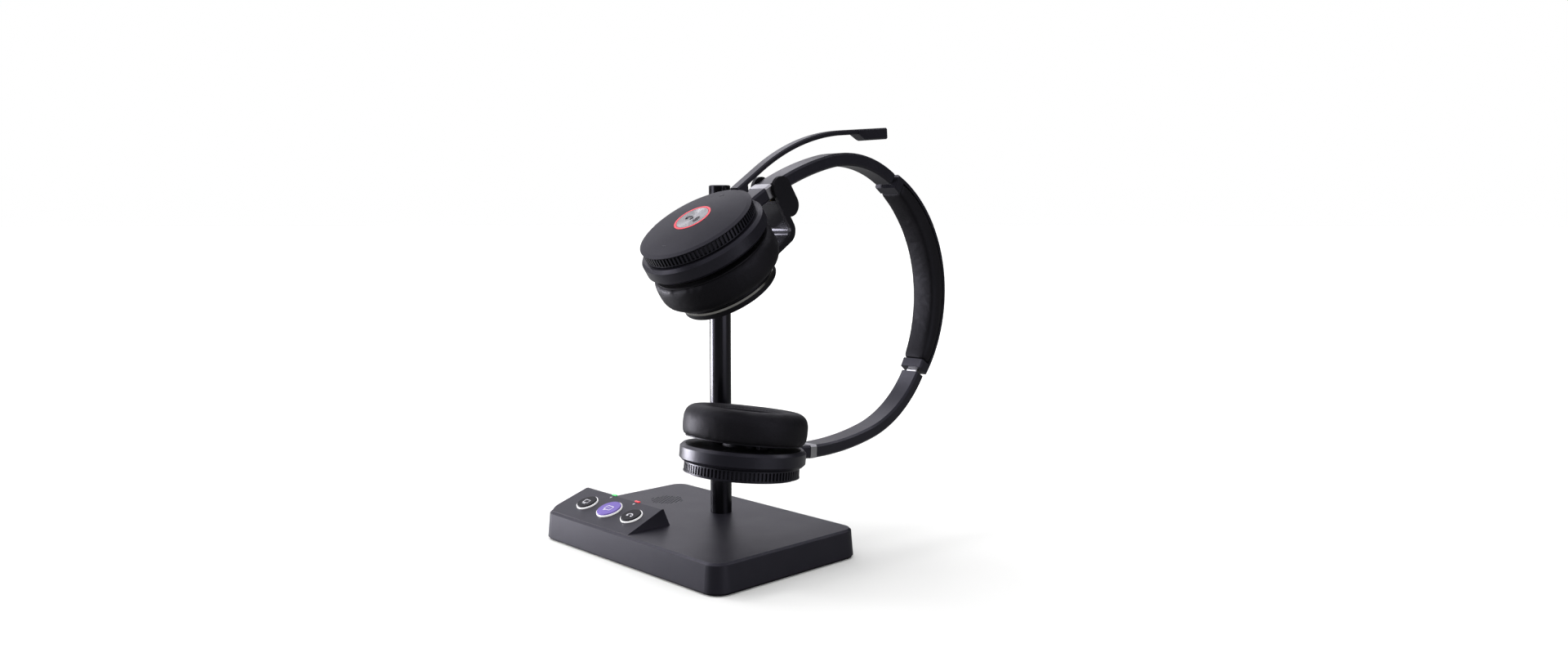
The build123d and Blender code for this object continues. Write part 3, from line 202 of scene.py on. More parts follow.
def object_noise(tree, scale, detail):
    """Noise over the piece's own coordinates; returns its value socket."""
    coordinates = tree.nodes.new("ShaderNodeTexCoord")
    noise = tree.nodes.new("ShaderNodeTexNoise")
    noise.inputs["Scale"].default_value = scale
    noise.inputs["Detail"].default_value = detail
    tree.links.new(coordinates.outputs["Object"], noise.inputs["Vector"])
    return noise.outputs["Fac"]


def add_grain(tree, shader, scale, strength, distance):
    """Fine moulded grain as a bump on the shader's normal."""
    bump = tree.nodes.new("ShaderNodeBump")
    bump.inputs["Strength"].default_value = strength
    bump.inputs["Distance"].default_value = distance
    tree.links.new(object_noise(tree, scale, GRAIN_DETAIL), bump.inputs["Height"])
    tree.links.new(bump.outputs["Normal"], shader.inputs["Normal"])


def vary(tree, shader, socket, low, high, scale):
    """Slow variation of a number over the surface, such as handling marks in the roughness."""
    spread = tree.nodes.new("ShaderNodeMapRange")
    spread.inputs["From Min"].default_value = NOISE_LOW
    spread.inputs["From Max"].default_value = NOISE_HIGH
    spread.inputs["To Min"].default_value = low
    spread.inputs["To Max"].default_value = high
    tree.links.new(object_noise(tree, scale, GLOSS_DETAIL), spread.inputs["Value"])
    tree.links.new(spread.outputs["Result"], shader.inputs[socket])


def tint(tree, shader, dark, light, scale):
    """Slight colour variation between two colours."""
    ramp = tree.nodes.new("ShaderNodeValToRGB")
    ramp.color_ramp.elements[0].position = NOISE_LOW
    ramp.color_ramp.elements[0].color = (*dark, 1)
    ramp.color_ramp.elements[1].position = NOISE_HIGH
    ramp.color_ramp.elements[1].color = (*light, 1)
    tree.links.new(object_noise(tree, scale, TONE_DETAIL), ramp.inputs["Fac"])
    tree.links.new(ramp.outputs["Color"], shader.inputs["Base Color"])


def moulded(name, dark, light, rough, grain_scale, grain_strength, specular=0.25):
    """Moulded plastic: two near tones, uneven gloss and a fine spark-eroded grain."""
    material, tree, shader = node_material(name)
    tint(tree, shader, dark, light, 90)
    vary(tree, shader, "Roughness", rough[0], rough[1], 55)
    shader.inputs["Specular IOR Level"].default_value = specular
    shader.inputs["Specular Tint"].default_value = SHEEN_TINT
    add_grain(tree, shader, grain_scale, grain_strength, 0.0001)
    return material


def metal(name, dark, light, rough, grain_scale, grain_strength):
    """Bare metal with slight colour and gloss variation and a fine finish."""
    material, tree, shader = node_material(name)
    tint(tree, shader, dark, light, 120)
    shader.inputs["Metallic"].default_value = 1
    vary(tree, shader, "Roughness", rough[0], rough[1], 160)
    add_grain(tree, shader, grain_scale, grain_strength, 0.00005)
    return material


def lit(name, colour, strength):
    """Translucent lens with a light behind it."""
    material, tree, shader = node_material(name)
    tint(tree, shader, [0.85 * part for part in colour], colour, 400)
    shader.inputs["Emission Color"].default_value = (*colour, 1)
    shader.inputs["Emission Strength"].default_value = strength
    shader.inputs["Roughness"].default_value = 0.3
    return material


def leather(name, dark, light):
    """Soft leatherette: pebble grain, shallow creases and uneven sheen."""
    material, tree, shader = node_material(name)
    tint(tree, shader, dark, light, 70)
    vary(tree, shader, "Roughness", 0.5, 0.62, 45)
    shader.inputs["Specular IOR Level"].default_value = 0.14
    shader.inputs["Specular Tint"].default_value = SHEEN_TINT
    coordinates = tree.nodes.new("ShaderNodeTexCoord")
    pebbles = tree.nodes.new("ShaderNodeTexVoronoi")
    pebbles.inputs["Scale"].default_value = 1500
    creases = tree.nodes.new("ShaderNodeTexNoise")
    creases.inputs["Scale"].default_value = 130
    creases.inputs["Detail"].default_value = 5
    creases.inputs["Distortion"].default_value = 0.6
    grain = tree.nodes.new("ShaderNodeBump")
    grain.inputs["Strength"].default_value = 0.3
    grain.inputs["Distance"].default_value = 0.00012
    folds = tree.nodes.new("ShaderNodeBump")
    folds.inputs["Strength"].default_value = 0.35
    folds.inputs["Distance"].default_value = 0.0008
    tree.links.new(coordinates.outputs["Object"], pebbles.inputs["Vector"])
    tree.links.new(coordinates.outputs["Object"], creases.inputs["Vector"])
    tree.links.new(creases.outputs["Fac"], folds.inputs["Height"])
    tree.links.new(folds.outputs["Normal"], grain.inputs["Normal"])
    tree.links.new(pebbles.outputs["Distance"], grain.inputs["Height"])
    tree.links.new(grain.outputs["Normal"], shader.inputs["Normal"])
    return material


def two_lamps(name, split, left, right, strength):
    """Lit lenses of two colours, one on each side of a place along x."""
    material, tree, shader = node_material(name)
    coordinates = tree.nodes.new("ShaderNodeTexCoord")
    parts = tree.nodes.new("ShaderNodeSeparateXYZ")
    past = tree.nodes.new("ShaderNodeMath")
    past.operation = "GREATER_THAN"
    past.inputs[1].default_value = split
    choose = tree.nodes.new("ShaderNodeMix")
    choose.data_type = "RGBA"
    choose.inputs["A"].default_value = (*left, 1)
    choose.inputs["B"].default_value = (*right, 1)
    tree.links.new(coordinates.outputs["Object"], parts.inputs["Vector"])
    tree.links.new(parts.outputs["X"], past.inputs[0])
    tree.links.new(past.outputs["Value"], choose.inputs["Factor"])
    tree.links.new(choose.outputs["Result"], shader.inputs["Base Color"])
    tree.links.new(choose.outputs["Result"], shader.inputs["Emission Color"])
    shader.inputs["Emission Strength"].default_value = strength
    shader.inputs["Roughness"].default_value = 0.3
    return material


def turned(name, dark, light):
    """Metal face with fine turned rings round the call button's axis."""
    material, tree, shader = node_material(name)
    tint(tree, shader, dark, light, 300)
    shader.inputs["Metallic"].default_value = 1
    shader.inputs["Roughness"].default_value = 0.24
    coordinates = tree.nodes.new("ShaderNodeTexCoord")
    reach = tree.nodes.new("ShaderNodeVectorMath")
    reach.operation = "SUBTRACT"
    reach.inputs[1].default_value = JOINTS["boom_swing"]["pos_m"]
    across = tree.nodes.new("ShaderNodeVectorMath")
    across.operation = "CROSS_PRODUCT"
    across.inputs[1].default_value = JOINTS["boom_swing"]["axis"]
    radius = tree.nodes.new("ShaderNodeVectorMath")
    radius.operation = "LENGTH"
    turns = tree.nodes.new("ShaderNodeMath")
    turns.operation = "MULTIPLY"
    turns.inputs[1].default_value = 2 * pi / RING_PITCH
    wave = tree.nodes.new("ShaderNodeMath")
    wave.operation = "SINE"
    bump = tree.nodes.new("ShaderNodeBump")
    bump.inputs["Strength"].default_value = 0.3
    bump.inputs["Distance"].default_value = RING_PITCH / 8
    tree.links.new(coordinates.outputs["Object"], reach.inputs[0])
    tree.links.new(reach.outputs["Vector"], across.inputs[0])
    tree.links.new(across.outputs["Vector"], radius.inputs[0])
    tree.links.new(radius.outputs["Value"], turns.inputs[0])
    tree.links.new(turns.outputs["Value"], wave.inputs[0])
    tree.links.new(wave.outputs["Value"], bump.inputs["Height"])
    tree.links.new(bump.outputs["Normal"], shader.inputs["Normal"])
    return material


MATERIALS = {
    "base": moulded(
        "base_plastic", (0.0105, 0.0100, 0.0135), (0.0130, 0.0125, 0.0165), (0.38, 0.41),
        grain_scale=5200, grain_strength=0.25,
    ),
    "shell": moulded(
        "shell_plastic", (0.0100, 0.0098, 0.0130), (0.0125, 0.0122, 0.0160), (0.31, 0.35),
        grain_scale=5200, grain_strength=0.15,
    ),
    "face": moulded(
        "face_plastic", (0.0110, 0.0105, 0.0140), (0.0140, 0.0135, 0.0180), (0.46, 0.50),
        grain_scale=4200, grain_strength=0.35, specular=0.13,
    ),
    "black": moulded(
        "black_plastic", (0.003, 0.003, 0.0035), (0.005, 0.005, 0.0055), (0.45, 0.55),
        grain_scale=4200, grain_strength=0.3, specular=0.15,
    ),
    "gloss": moulded(
        "gloss_black", (0.002, 0.002, 0.0025), (0.003, 0.003, 0.0035), (0.19, 0.23),
        grain_scale=900, grain_strength=0.02, specular=0.3,
    ),
    "key": moulded(
        "key_black", (0.0015, 0.0015, 0.002), (0.0025, 0.0025, 0.003), (0.2, 0.26),
        grain_scale=900, grain_strength=0.02, specular=0.1,
    ),
    "dock": moulded(
        "dock_gloss", (0.009, 0.009, 0.0095), (0.012, 0.012, 0.0125), (0.18, 0.26),
        grain_scale=2500, grain_strength=0.05, specular=0.6,
    ),
    "rubber": moulded(
        "black_rubber", (0.006, 0.006, 0.006), (0.009, 0.009, 0.009), (0.6, 0.75),
        grain_scale=3000, grain_strength=0.5, specular=0.2,
    ),
    "board": moulded(
        "circuit_board", (0.01, 0.06, 0.02), (0.015, 0.09, 0.03), (0.3, 0.5),
        grain_scale=3000, grain_strength=0.5,
    ),
    "foil": moulded(
        "cell_wrap", (0.25, 0.26, 0.28), (0.35, 0.36, 0.38), (0.3, 0.45),
        grain_scale=1500, grain_strength=0.4,
    ),
    "cone": moulded(
        "driver_paper", (0.008, 0.008, 0.009), (0.018, 0.018, 0.02), (0.6, 0.8),
        grain_scale=2500, grain_strength=0.7,
    ),
    "leather": leather("leatherette", (0.0045, 0.0043, 0.0048), (0.0064, 0.0061, 0.0068)),
    "mesh_cloth": moulded(
        "mesh_cloth", (0.005, 0.005, 0.005), (0.02, 0.02, 0.02), (0.8, 0.95),
        grain_scale=2600, grain_strength=0.9, specular=0.2,
    ),
    "thread": moulded(
        "sewing_thread", (0.006, 0.006, 0.007), (0.012, 0.012, 0.013), (0.6, 0.7),
        grain_scale=6000, grain_strength=0.8, specular=0.2,
    ),
    "steel": metal(
        "plain_steel", (0.42, 0.42, 0.43), (0.55, 0.55, 0.56), (0.25, 0.38),
        grain_scale=3500, grain_strength=0.2,
    ),
    "dark_steel": metal(
        "dark_steel", (0.020, 0.020, 0.022), (0.03, 0.03, 0.032), (0.35, 0.45),
        grain_scale=3500, grain_strength=0.2,
    ),
    "chrome": metal(
        "chrome_trim", (0.28, 0.275, 0.26), (0.34, 0.335, 0.32), (0.1, 0.16),
        grain_scale=1500, grain_strength=0.03,
    ),
    "accent": metal(
        "accent_metal", (0.34, 0.34, 0.35), (0.42, 0.42, 0.43), (0.32, 0.42),
        grain_scale=5000, grain_strength=0.2,
    ),
    "gold": metal(
        "gold_contact", (0.75, 0.5, 0.2), (0.85, 0.6, 0.28), (0.2, 0.3),
        grain_scale=2000, grain_strength=0.1,
    ),
    "purple": moulded(
        "purple_key", (0.13, 0.085, 0.33), (0.16, 0.11, 0.40), (0.3, 0.38),
        grain_scale=3500, grain_strength=0.1,
    ),
    "white_light": lit("white_light", (0.9, 0.9, 0.88), 0.45),
    "red_light": lit("red_light", (0.62, 0.006, 0.022), 0.6),
    "status": two_lamps(
        "status_light", split=-0.035, left=(0.03, 0.42, 0.08), right=(0.62, 0.01, 0.02),
        strength=0.9,
    ),
    "button": turned("brushed_button", (0.22, 0.22, 0.22), (0.27, 0.27, 0.27)),
    "mark": moulded(
        "printed_mark", (0.62, 0.62, 0.62), (0.74, 0.74, 0.74), (0.4, 0.5),
        grain_scale=3000, grain_strength=0.1,
    ),
    # Near-black strokes: dark print on the call button, and painted shade that stands in for the
    # grooves of the engraved plus and minus marks.
    "print_and_painted_shade": moulded(
        "dark_print_and_painted_groove_shade", (0.002, 0.002, 0.002), (0.004, 0.004, 0.004), (0.3, 0.4),
        grain_scale=3000, grain_strength=0.1,
    ),
}

FINISH = {
    "base": ["base_shell"],
    "shell": [
        "upper_housing", "lower_housing", "lower_cover", "upper_arm_outer", "upper_arm_inner",
        "lower_arm_outer", "lower_arm_inner", "band_shell", "boom_arm", "mic_tip", "boom_ring",
        "upper_end_cap", "lower_end_cap",
    ],
    "face": ["volume_plate"],
    "black": [
        "bottom_plate", "dock_cheeks", "dock_dish", "dock_bracket", "upper_chassis",
        "lower_chassis", "upper_speaker_pan", "lower_speaker_pan", "mic_capsule",
    ],
    "gloss": ["post_tube", "post_cap"],
    "key": ["computer_key", "phone_key"],
    "dock": ["dock_arm"],
    "rubber": ["anti_slip_pad", "upper_cushion", "lower_cushion", "band_cushion"],
    "board": ["main_board", "key_board", "control_board"],
    "foil": ["battery"],
    "cone": ["base_speaker", "upper_driver", "lower_driver"],
    "steel": [
        "ballast_plate", "base_screws", "port_sockets", "post_nut", "dock_magnet", "upper_tongue",
        "lower_tongue", "band_spring",
    ],
    "dark_steel": ["upper_pivot_pin", "lower_pivot_pin"],
    "chrome": ["dock_rim"],
    "accent": ["upper_accent", "lower_accent"],
    "gold": ["charge_pins"],
    "purple": ["app_key"],
    "white_light": ["key_lights"],
    "red_light": ["light_ring"],
    "status": ["status_lights"],
    "button": ["call_button"],
}


def finish_nodes():
    """Gives every CAD node the material it is listed under."""
    for finish, names in FINISH.items():
        for name in names:
            mesh = NODES[name].data
            mesh.materials.clear()
            mesh.materials.append(MATERIALS[finish])


finish_nodes()

# ---------------------------------------------------------------- shape helpers

SIDE_AXIS = Vector((1, 0, 0))


def cup_frame(origin, outward):
    """Placement with x along the pivot, y towards the band and z out of the cup's face."""
    out = Vector(outward).normalized()
    along = SIDE_AXIS if out.z > 0 else -SIDE_AXIS
    turn = Matrix((along, out.cross(along), out)).transposed().to_4x4()
    return Matrix.Translation(Vector(origin)) @ turn


def make_smooth(piece):
    """Smooth shading on every face."""
    for polygon in piece.data.polygons:
        polygon.use_smooth = True


def new_piece(name, vertices, faces, place=Matrix.Identity(4)):
    """Smooth mesh object from points in millimetres, moved by place into the part's frame."""
    mesh = bpy.data.meshes.new(name)
    mesh.from_pydata([place @ (Vector(point) / 1000) for point in vertices], [], faces)
    mesh.update()
    piece = bpy.data.objects.new(name, mesh)
    bpy.context.scene.collection.objects.link(piece)
    make_smooth(piece)
    return piece


def grid_faces(rows, columns, wrap_rows=False, wrap_columns=False):
    """Quads of a grid of points, joined round where asked."""
    faces = []
    for row in range(rows if wrap_rows else rows - 1):
        here = row * columns
        below = (row + 1) % rows * columns
        for column in range(columns if wrap_columns else columns - 1):
            right = (column + 1) % columns
            faces.append((here + column, here + right, below + right, below + column))
    return faces


def spun(name, profile, turns, place, closed=False):
    """Surface of revolution of (radius, height) points about the local z axis."""
    vertices = []
    for step in range(turns):
        angle = 2 * pi * step / turns
        across = cos(angle)
        along = sin(angle)
        vertices += [(radius * across, radius * along, height) for radius, height in profile]
    return new_piece(name, vertices, grid_faces(turns, len(profile), True, closed), place)


def rounded_profile(corners, steps=6):
    """Closed (radius, height) outline: each corner is (radius, height, rounding)."""
    outline = []
    count = len(corners)
    for index in range(count):
        corner = Vector(corners[index][:2])
        before = (Vector(corners[index - 1][:2]) - corner).normalized()
        after = (Vector(corners[(index + 1) % count][:2]) - corner).normalized()
        start = corner + before * corners[index][2]
        stop = corner + after * corners[index][2]
        for step in range(steps + 1):
            share = step / steps
            point = (1 - share) ** 2 * start + 2 * share * (1 - share) * corner + share**2 * stop
            outline.append(tuple(point))
    return outline


def bake(piece):
    """Applies the piece's modifiers."""
    graph = bpy.context.evaluated_depsgraph_get()
    mesh = bpy.data.meshes.new_from_object(piece.evaluated_get(graph))
    piece.modifiers.clear()
    piece.data = mesh


CLOTH_QUALITY = 6
CLOTH_MASS = 0.15
CLOTH_PRESSURE = 4
CLOTH_FRAMES = 20
RELAX_FACTOR = 0.5
RELAX_PASSES = 6


def even_out(piece, voxel):
    """Even mesh of small faces over a closed cover."""
    remesh = piece.modifiers.new("even", "REMESH")
    remesh.mode = "VOXEL"
    remesh.voxel_size = voxel
    bake(piece)


def inflate(piece, limit):
    """Cloth pressure inside a closed cover; no point moves further than limit."""
    rest = [vertex.co.copy() for vertex in piece.data.vertices]
    cloth = piece.modifiers.new("cloth", "CLOTH")
    cloth.settings.quality = CLOTH_QUALITY
    cloth.settings.mass = CLOTH_MASS
    cloth.settings.use_pressure = True
    cloth.settings.uniform_pressure_force = CLOTH_PRESSURE
    cloth.settings.effector_weights.gravity = 0
    for step in range(1, CLOTH_FRAMES + 1):
        bpy.context.scene.frame_set(step)
    bake(piece)
    bpy.context.scene.frame_set(1)
    for vertex, start in zip(piece.data.vertices, rest):
        moved = vertex.co - start
        if moved.length > limit:
            vertex.co = start + moved.normalized() * limit


def puff(piece, voxel, limit):
    """Stuffed shape of a closed cover: even mesh, cloth pressure, then a softer, finer surface."""
    even_out(piece, voxel)
    inflate(piece, limit)
    relax = piece.modifiers.new("relax", "SMOOTH")
    relax.factor = RELAX_FACTOR
    relax.iterations = RELAX_PASSES
    finer = piece.modifiers.new("finer", "SUBSURF")
    finer.levels = 1
    bake(piece)
    make_smooth(piece)


def paint(piece, finish):
    """One of the shared materials on a new piece."""
    piece.data.materials.clear()
    piece.data.materials.append(MATERIALS[finish])


def sink(piece, depth_at):
    """Pushes each point of a piece inwards along its normal by depth_at(point), in millimetres."""
    mesh = piece.data
    normals = [vertex.normal.copy() for vertex in mesh.vertices]
    for vertex, normal in zip(mesh.vertices, normals):
        vertex.co -= normal * depth_at(vertex.co * 1000) / 1000


# Places along a stitch, as shares of its length, each with its share of the full thickness.
STITCH_STATIONS = ((-0.5, 0.05), (-0.35, 0.8), (0, 1), (0.35, 0.8), (0.5, 0.05))
STITCH_SIDES = 6
STITCH_RISE = 0.5
STITCH_DIP = 1.6


def thread(name, spots, length, thickness, finish):
    """Row of sewing stitches; each spot is (middle, direction, outward) in metres."""
    vertices, faces = [], []
    for middle, direction, outward in spots:
        first = len(vertices)
        sideways = direction.cross(outward).normalized()
        for share, fullness in STITCH_STATIONS:
            lift = outward * thickness * (STITCH_RISE - STITCH_DIP * abs(share))
            for step in range(STITCH_SIDES):
                angle = 2 * pi * step / STITCH_SIDES
                spoke = sideways * cos(angle) + outward * sin(angle)
                point = middle + direction * share * length + lift + spoke * thickness * fullness
                vertices.append(point * 1000)
        tube = grid_faces(len(STITCH_STATIONS), STITCH_SIDES, False, True)
        faces += [tuple(first + corner for corner in face) for face in tube]
    piece = new_piece(name, vertices, faces)
    paint(piece, finish)
    return piece


# ---------------------------------------------------------------- ear pads

PAD_TOP = -2.6
PAD_FACE = -19.5
PAD_RADIUS = 33.3
PAD_HOLE = 15.6
PAD_CREST = 23.0
SEAM_RADIUS = 18.4
SEAM_DEPTH = 0.35
SEAM_WIDTH = 0.9
STITCH_COUNT = 60
STITCH_LENGTH = 0.0013
STITCH_THICKNESS = 0.00016
PAD_FLOOR = -9.4
PAD_TURNS = 96
PAD_VOXEL = 0.0016
PAD_GIVE = 0.0006
CLOTH_CROWN = -17.6
CLOTH_TURNS = 72
RAY_RUN_UP = 10
UPPER_OUT = -Vector(JOINTS["boom_swing"]["axis"])
LOWER_OUT = Vector((0, -0.1478, -0.9890))
CUPS = {
    "upper": cup_frame(JOINTS["upper_cup_tilt"]["pos_m"], UPPER_OUT),
    "lower": cup_frame(JOINTS["lower_cup_tilt"]["pos_m"], LOWER_OUT),
}


def pad_outline():
    """Closed outline of the ear pad's ring, as (radius, height)."""
    return rounded_profile([
        (PAD_RADIUS - 0.6, PAD_TOP, 2.4),
        (PAD_RADIUS, PAD_TOP - 8, 4),
        (PAD_RADIUS - 0.8, PAD_FACE + 0.6, 6),
        (PAD_CREST, PAD_FACE - 0.3, 5),
        (PAD_HOLE, PAD_FACE + 1.6, 3),
        (PAD_HOLE, PAD_FLOOR, 0.6),
        (PAD_HOLE + 4, PAD_FLOOR + 0.6, 0.5),
        (PAD_HOLE + 4, PAD_TOP, 0.5),
    ])


def sink_seam(pad, place):
    """Round groove where the cover is sewn, on the side that faces the ear."""
    back = place.inverted()

    def seam(point):
        local = back @ (point / 1000) * 1000
        radius = (local.x**2 + local.y**2) ** 0.5
        on_face = local.z < PAD_FLOOR - 3
        return SEAM_DEPTH * exp(-(((radius - SEAM_RADIUS) / SEAM_WIDTH) ** 2)) if on_face else 0

    sink(pad, seam)


def stitch_seam(side, pad, place):
    """Stitches laid on the pad along its seam."""
    turn = place.to_3x3()
    out = (turn @ Vector((0, 0, -1))).normalized()
    spots = []
    for step in range(STITCH_COUNT):
        angle = 2 * pi * step / STITCH_COUNT
        spoke = Vector((cos(angle), sin(angle), 0))
        above = Vector((0, 0, PAD_FACE - RAY_RUN_UP))
        start = place @ ((spoke * SEAM_RADIUS + above) / 1000)
        _, spot, normal, _ = pad.ray_cast(start, -out)
        along = (turn @ Vector((-spoke.y, spoke.x, 0))).normalized()
        spots.append((spot, along, normal))
    return thread(side + "_pad_stitches", spots, STITCH_LENGTH, STITCH_THICKNESS, "thread")


def make_speaker_cloth(side, place):
    """Domed cloth over the speaker, in the pad's hole."""
    outline = [
        (0, CLOTH_CROWN),
        (6, CLOTH_CROWN + 0.2),
        (11, CLOTH_CROWN + 0.9),
        (14.6, CLOTH_CROWN + 2.4),
        (PAD_HOLE + 0.3, CLOTH_CROWN + 4.2),
        (PAD_HOLE - 1, PAD_FLOOR),
        (0, PAD_FLOOR),
    ]
    cloth = spun(side + "_speaker_cloth", outline, CLOTH_TURNS, place)
    paint(cloth, "mesh_cloth")
    return cloth


def make_ear_pad(side):
    """Stuffed leatherette ring with an inner seam, and the speaker cloth inside it."""
    place = CUPS[side]
    pad = spun(side + "_ear_pad", pad_outline(), PAD_TURNS, place, closed=True)
    puff(pad, PAD_VOXEL, PAD_GIVE)
    sink_seam(pad, place)
    paint(pad, "leather")
    stitches = stitch_seam(side, pad, place)
    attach(stitches, side + "_speaker")
    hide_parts(side + "_cushion")
    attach(pad, side + "_speaker")
    cloth = make_speaker_cloth(side, place)
    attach(cloth, side + "_speaker")


for cup in CUPS:
    make_ear_pad(cup)

# ---------------------------------------------------------------- headband pad

ARCH_ORIGIN = Vector((39.0, -16.7, 113.5))
ARCH_TILT = radians(13)
ALONG = Vector((0, cos(ARCH_TILT), sin(ARCH_TILT)))
ACROSS = Vector((0, -sin(ARCH_TILT), cos(ARCH_TILT)))
BAND_CENTRE = 102.2
BAND_PAD_OUTER = 75.6
BAND_INNER_SHIFT = 14.4
BAND_INNER = 78.6
BAND_PAD_HALF = 8.1
BAND_PAD_END = radians(47.3)
BAND_STATIONS = 61
BAND_TAPER_POWER = 24
BAND_TAPER = 0.06
BAND_VOXEL = 0.0011
BAND_GIVE = 0.0004


def band_pad_inner(angle):
    """Radius of the pad's inner face about the band's centre at an angle."""
    shift = BAND_INNER_SHIFT * cos(angle)
    return (shift**2 - BAND_INNER_SHIFT**2 + BAND_INNER**2) ** 0.5 - shift


def make_band_pad():
    """Long soft pad under the band: crowned inner face, full sides, rounded ends."""
    rings = []
    for station in range(BAND_STATIONS):
        share = 2 * station / (BAND_STATIONS - 1) - 1
        angle = share * BAND_PAD_END
        inner = band_pad_inner(angle)
        taper = (1 - abs(share) ** BAND_TAPER_POWER) ** 0.5
        half = BAND_PAD_HALF * (1 - BAND_TAPER + BAND_TAPER * taper)
        inner += (BAND_PAD_OUTER - inner) * BAND_TAPER * (1 - taper)
        outline = rounded_profile([
            (BAND_PAD_OUTER, half, 0.3),
            (inner + 0.2, half, 2.2),
            (inner - 0.2, 0, 3.0),
            (inner + 0.2, -half, 2.2),
            (BAND_PAD_OUTER, -half, 0.3),
        ])
        ray = ALONG * cos(angle) + ACROSS * sin(angle)
        centre = ARCH_ORIGIN + ALONG * BAND_CENTRE
        rings.append([centre + ray * radius + SIDE_AXIS * side for radius, side in outline])
    size = len(rings[0])
    faces = grid_faces(BAND_STATIONS, size, False, True)
    faces.append(list(range(size))[::-1])
    faces.append(list(range((BAND_STATIONS - 1) * size, BAND_STATIONS * size)))
    pad = new_piece("band_pad", [point for ring in rings for point in ring], faces)
    puff(pad, BAND_VOXEL, BAND_GIVE)
    paint(pad, "leather")
    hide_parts("band_cushion")
    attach(pad, "band")


make_band_pad()

# ---------------------------------------------------------------- printed marks and painted groove shade

SLOPE = radians(18.8)
KEY_UP = Vector((0, cos(SLOPE), sin(SLOPE)))
MARK_HEIGHT = 0.05
MARK_THICKNESS = 0.00006
MARK_RUN_UP = 20


def middle(node):
    """Middle of a CAD node's box, in millimetres."""
    low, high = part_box(node)
    return (Vector(low) + Vector(high)) * 500


def stroke(name, node, centre, axes, paths, width, finish, body):
    """Raised print and painted groove shade on a CAD node: each path is a list of points in the
    plane of axes.
    """
    right, up = axes
    out = right.cross(up)
    vertices, faces = [], []
    for path in paths:
        first = len(vertices)
        for index, (x, y) in enumerate(path):
            before = Vector(path[max(index - 1, 0)])
            after = Vector(path[min(index + 1, len(path) - 1)])
            heading = (after - before).normalized()
            for side in (-0.5, 0.5):
                px = x - heading.y * width * side
                py = y + heading.x * width * side
                start = (centre + right * px + up * py + out * MARK_RUN_UP) / 1000
                _, spot, _, _ = NODES[node].ray_cast(start, -out)
                vertices.append(spot * 1000 + out * MARK_HEIGHT)
        for index in range(len(path) - 1):
            corner = first + 2 * index
            faces.append((corner, corner + 2, corner + 3, corner + 1))
    mark = new_piece(name, vertices, faces)
    solid = mark.modifiers.new("body", "SOLIDIFY")
    solid.thickness = MARK_THICKNESS
    solid.offset = 0
    bake(mark)
    paint(mark, finish)
    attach(mark, body)


def line(*corners, step=0.3):
    """Straight run of closely spaced points through corners."""
    points = []
    for start, stop in zip(corners, corners[1:]):
        run = Vector(stop) - Vector(start)
        count = max(1, int(run.length / step))
        points += [tuple(Vector(start) + run * part / count) for part in range(count)]
    return points + [corners[-1]]


def arc(centre, radius, start, stop, count=14):
    """Points of a circular arc, angles in degrees."""
    angles = [radians(start + (stop - start) * part / count) for part in range(count + 1)]
    return [(centre[0] + radius * cos(angle), centre[1] + radius * sin(angle)) for angle in angles]


def rounded_box(half_x, half_y, corner):
    """Closed rounded rectangle about the origin."""
    x, y = half_x - corner, half_y - corner
    points = arc((x, y), corner, 0, 90, 5) + arc((-x, y), corner, 90, 180, 5)
    points += arc((-x, -y), corner, 180, 270, 5) + arc((x, -y), corner, 270, 360, 5)
    return points + points[:1]


SCREEN_ICON = [rounded_box(2.0, 1.4, 0.4), line((-1.2, -2.2), (1.2, -2.2))]
BUBBLE_ICON = [
    rounded_box(2.6, 1.8, 0.8),
    line((-1.4, -1.8), (-1.8, -2.9), (-0.2, -1.8)),
    line((-1.2, 0.0), (-0.8, 0.0)),
    line((-0.2, 0.0), (0.2, 0.0)),
    line((0.8, 0.0), (1.2, 0.0)),
]
HANDSET_ICON = [
    arc((0, -1.6), 2.4, 20, 160),
    line((-2.3, -0.9), (-1.6, -1.5), (-1.0, -0.8)),
    line((2.3, -0.9), (1.6, -1.5), (1.0, -0.8)),
]
KEY_AXES = (SIDE_AXIS, KEY_UP)
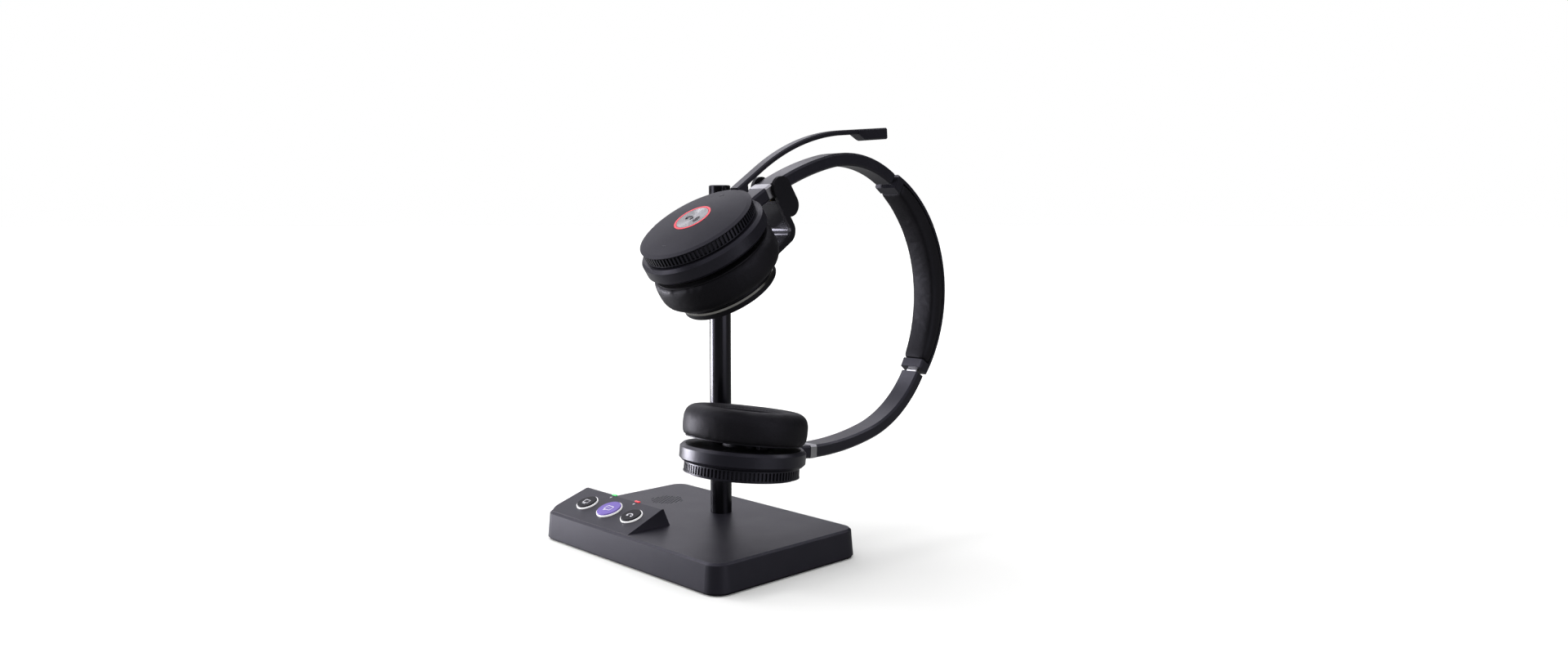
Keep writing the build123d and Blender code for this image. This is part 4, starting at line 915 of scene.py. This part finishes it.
# Mark, key that carries it, its lines and their width.
KEY_ICONS = [
    ("screen_icon", "computer_key", SCREEN_ICON, 0.4),
    ("bubble_icon", "app_key", BUBBLE_ICON, 0.45),
    ("handset_icon", "phone_key", HANDSET_ICON, 0.6),
]
for icon, key, paths, width in KEY_ICONS:
    stroke(icon, key, middle(key), KEY_AXES, paths, width, "mark", key)

FACE_CENTRE = Vector(JOINTS["boom_swing"]["pos_m"]) * 1000
FACE_UP = UPPER_OUT.cross(SIDE_AXIS)
FACE_AXES = (SIDE_AXIS, FACE_UP)
PLUS_MARK = [line((-1.5, 22.5), (1.5, 22.5)), line((0, 21), (0, 24))]
MINUS_MARK = [line((-1.5, -22.5), (1.5, -22.5))]


def shifted(path, right, up):
    """A path moved in its own plane."""
    return [(x + right, y + up) for x, y in path]


CALL_MARKS = [shifted(path, -3.0, 1.0) for path in HANDSET_ICON]
CALL_MARKS += [
    shifted(rounded_box(0.8, 1.4, 0.7), 3.2, 0.0),
    shifted(arc((0, -0.3), 1.7, 200, 340), 3.2, 0.0),
    line((3.2, -2.0), (3.2, -2.9)),
]
# Mark, node that carries it, its lines and their width.
FACE_MARKS = [
    ("plus_mark", "volume_plate", PLUS_MARK, 0.45),
    ("minus_mark", "volume_plate", MINUS_MARK, 0.45),
    ("call_marks", "call_button", CALL_MARKS, 0.9),
]
# The plus and minus marks are raised near-black strokes that paint the shade of engraved grooves;
# the call marks are dark print.
for mark_name, carrier, paths, width in FACE_MARKS:
    stroke(mark_name, carrier, FACE_CENTRE, FACE_AXES, paths, width, "print_and_painted_shade", carrier)

LAMP_SPACING = 2.6
LAMP_ARM = 0.9
LAMP_REACH = 0.8
LAMP_MARK_WIDTH = 0.3
LAMP_MARKS = [
    line((-LAMP_ARM, -LAMP_SPACING), (LAMP_ARM, -LAMP_SPACING)),
    line((0, -LAMP_SPACING - LAMP_REACH), (0, -LAMP_SPACING + LAMP_REACH)),
]
LAMPS = middle("status_lights")
for lamp_name, lamp_x in (("left_lamp_mark", -46.0), ("right_lamp_mark", -24.5)):
    place = Vector((lamp_x, LAMPS.y, LAMPS.z))
    stroke(lamp_name, "base_shell", place, KEY_AXES, LAMP_MARKS, LAMP_MARK_WIDTH, "mark", "stand")
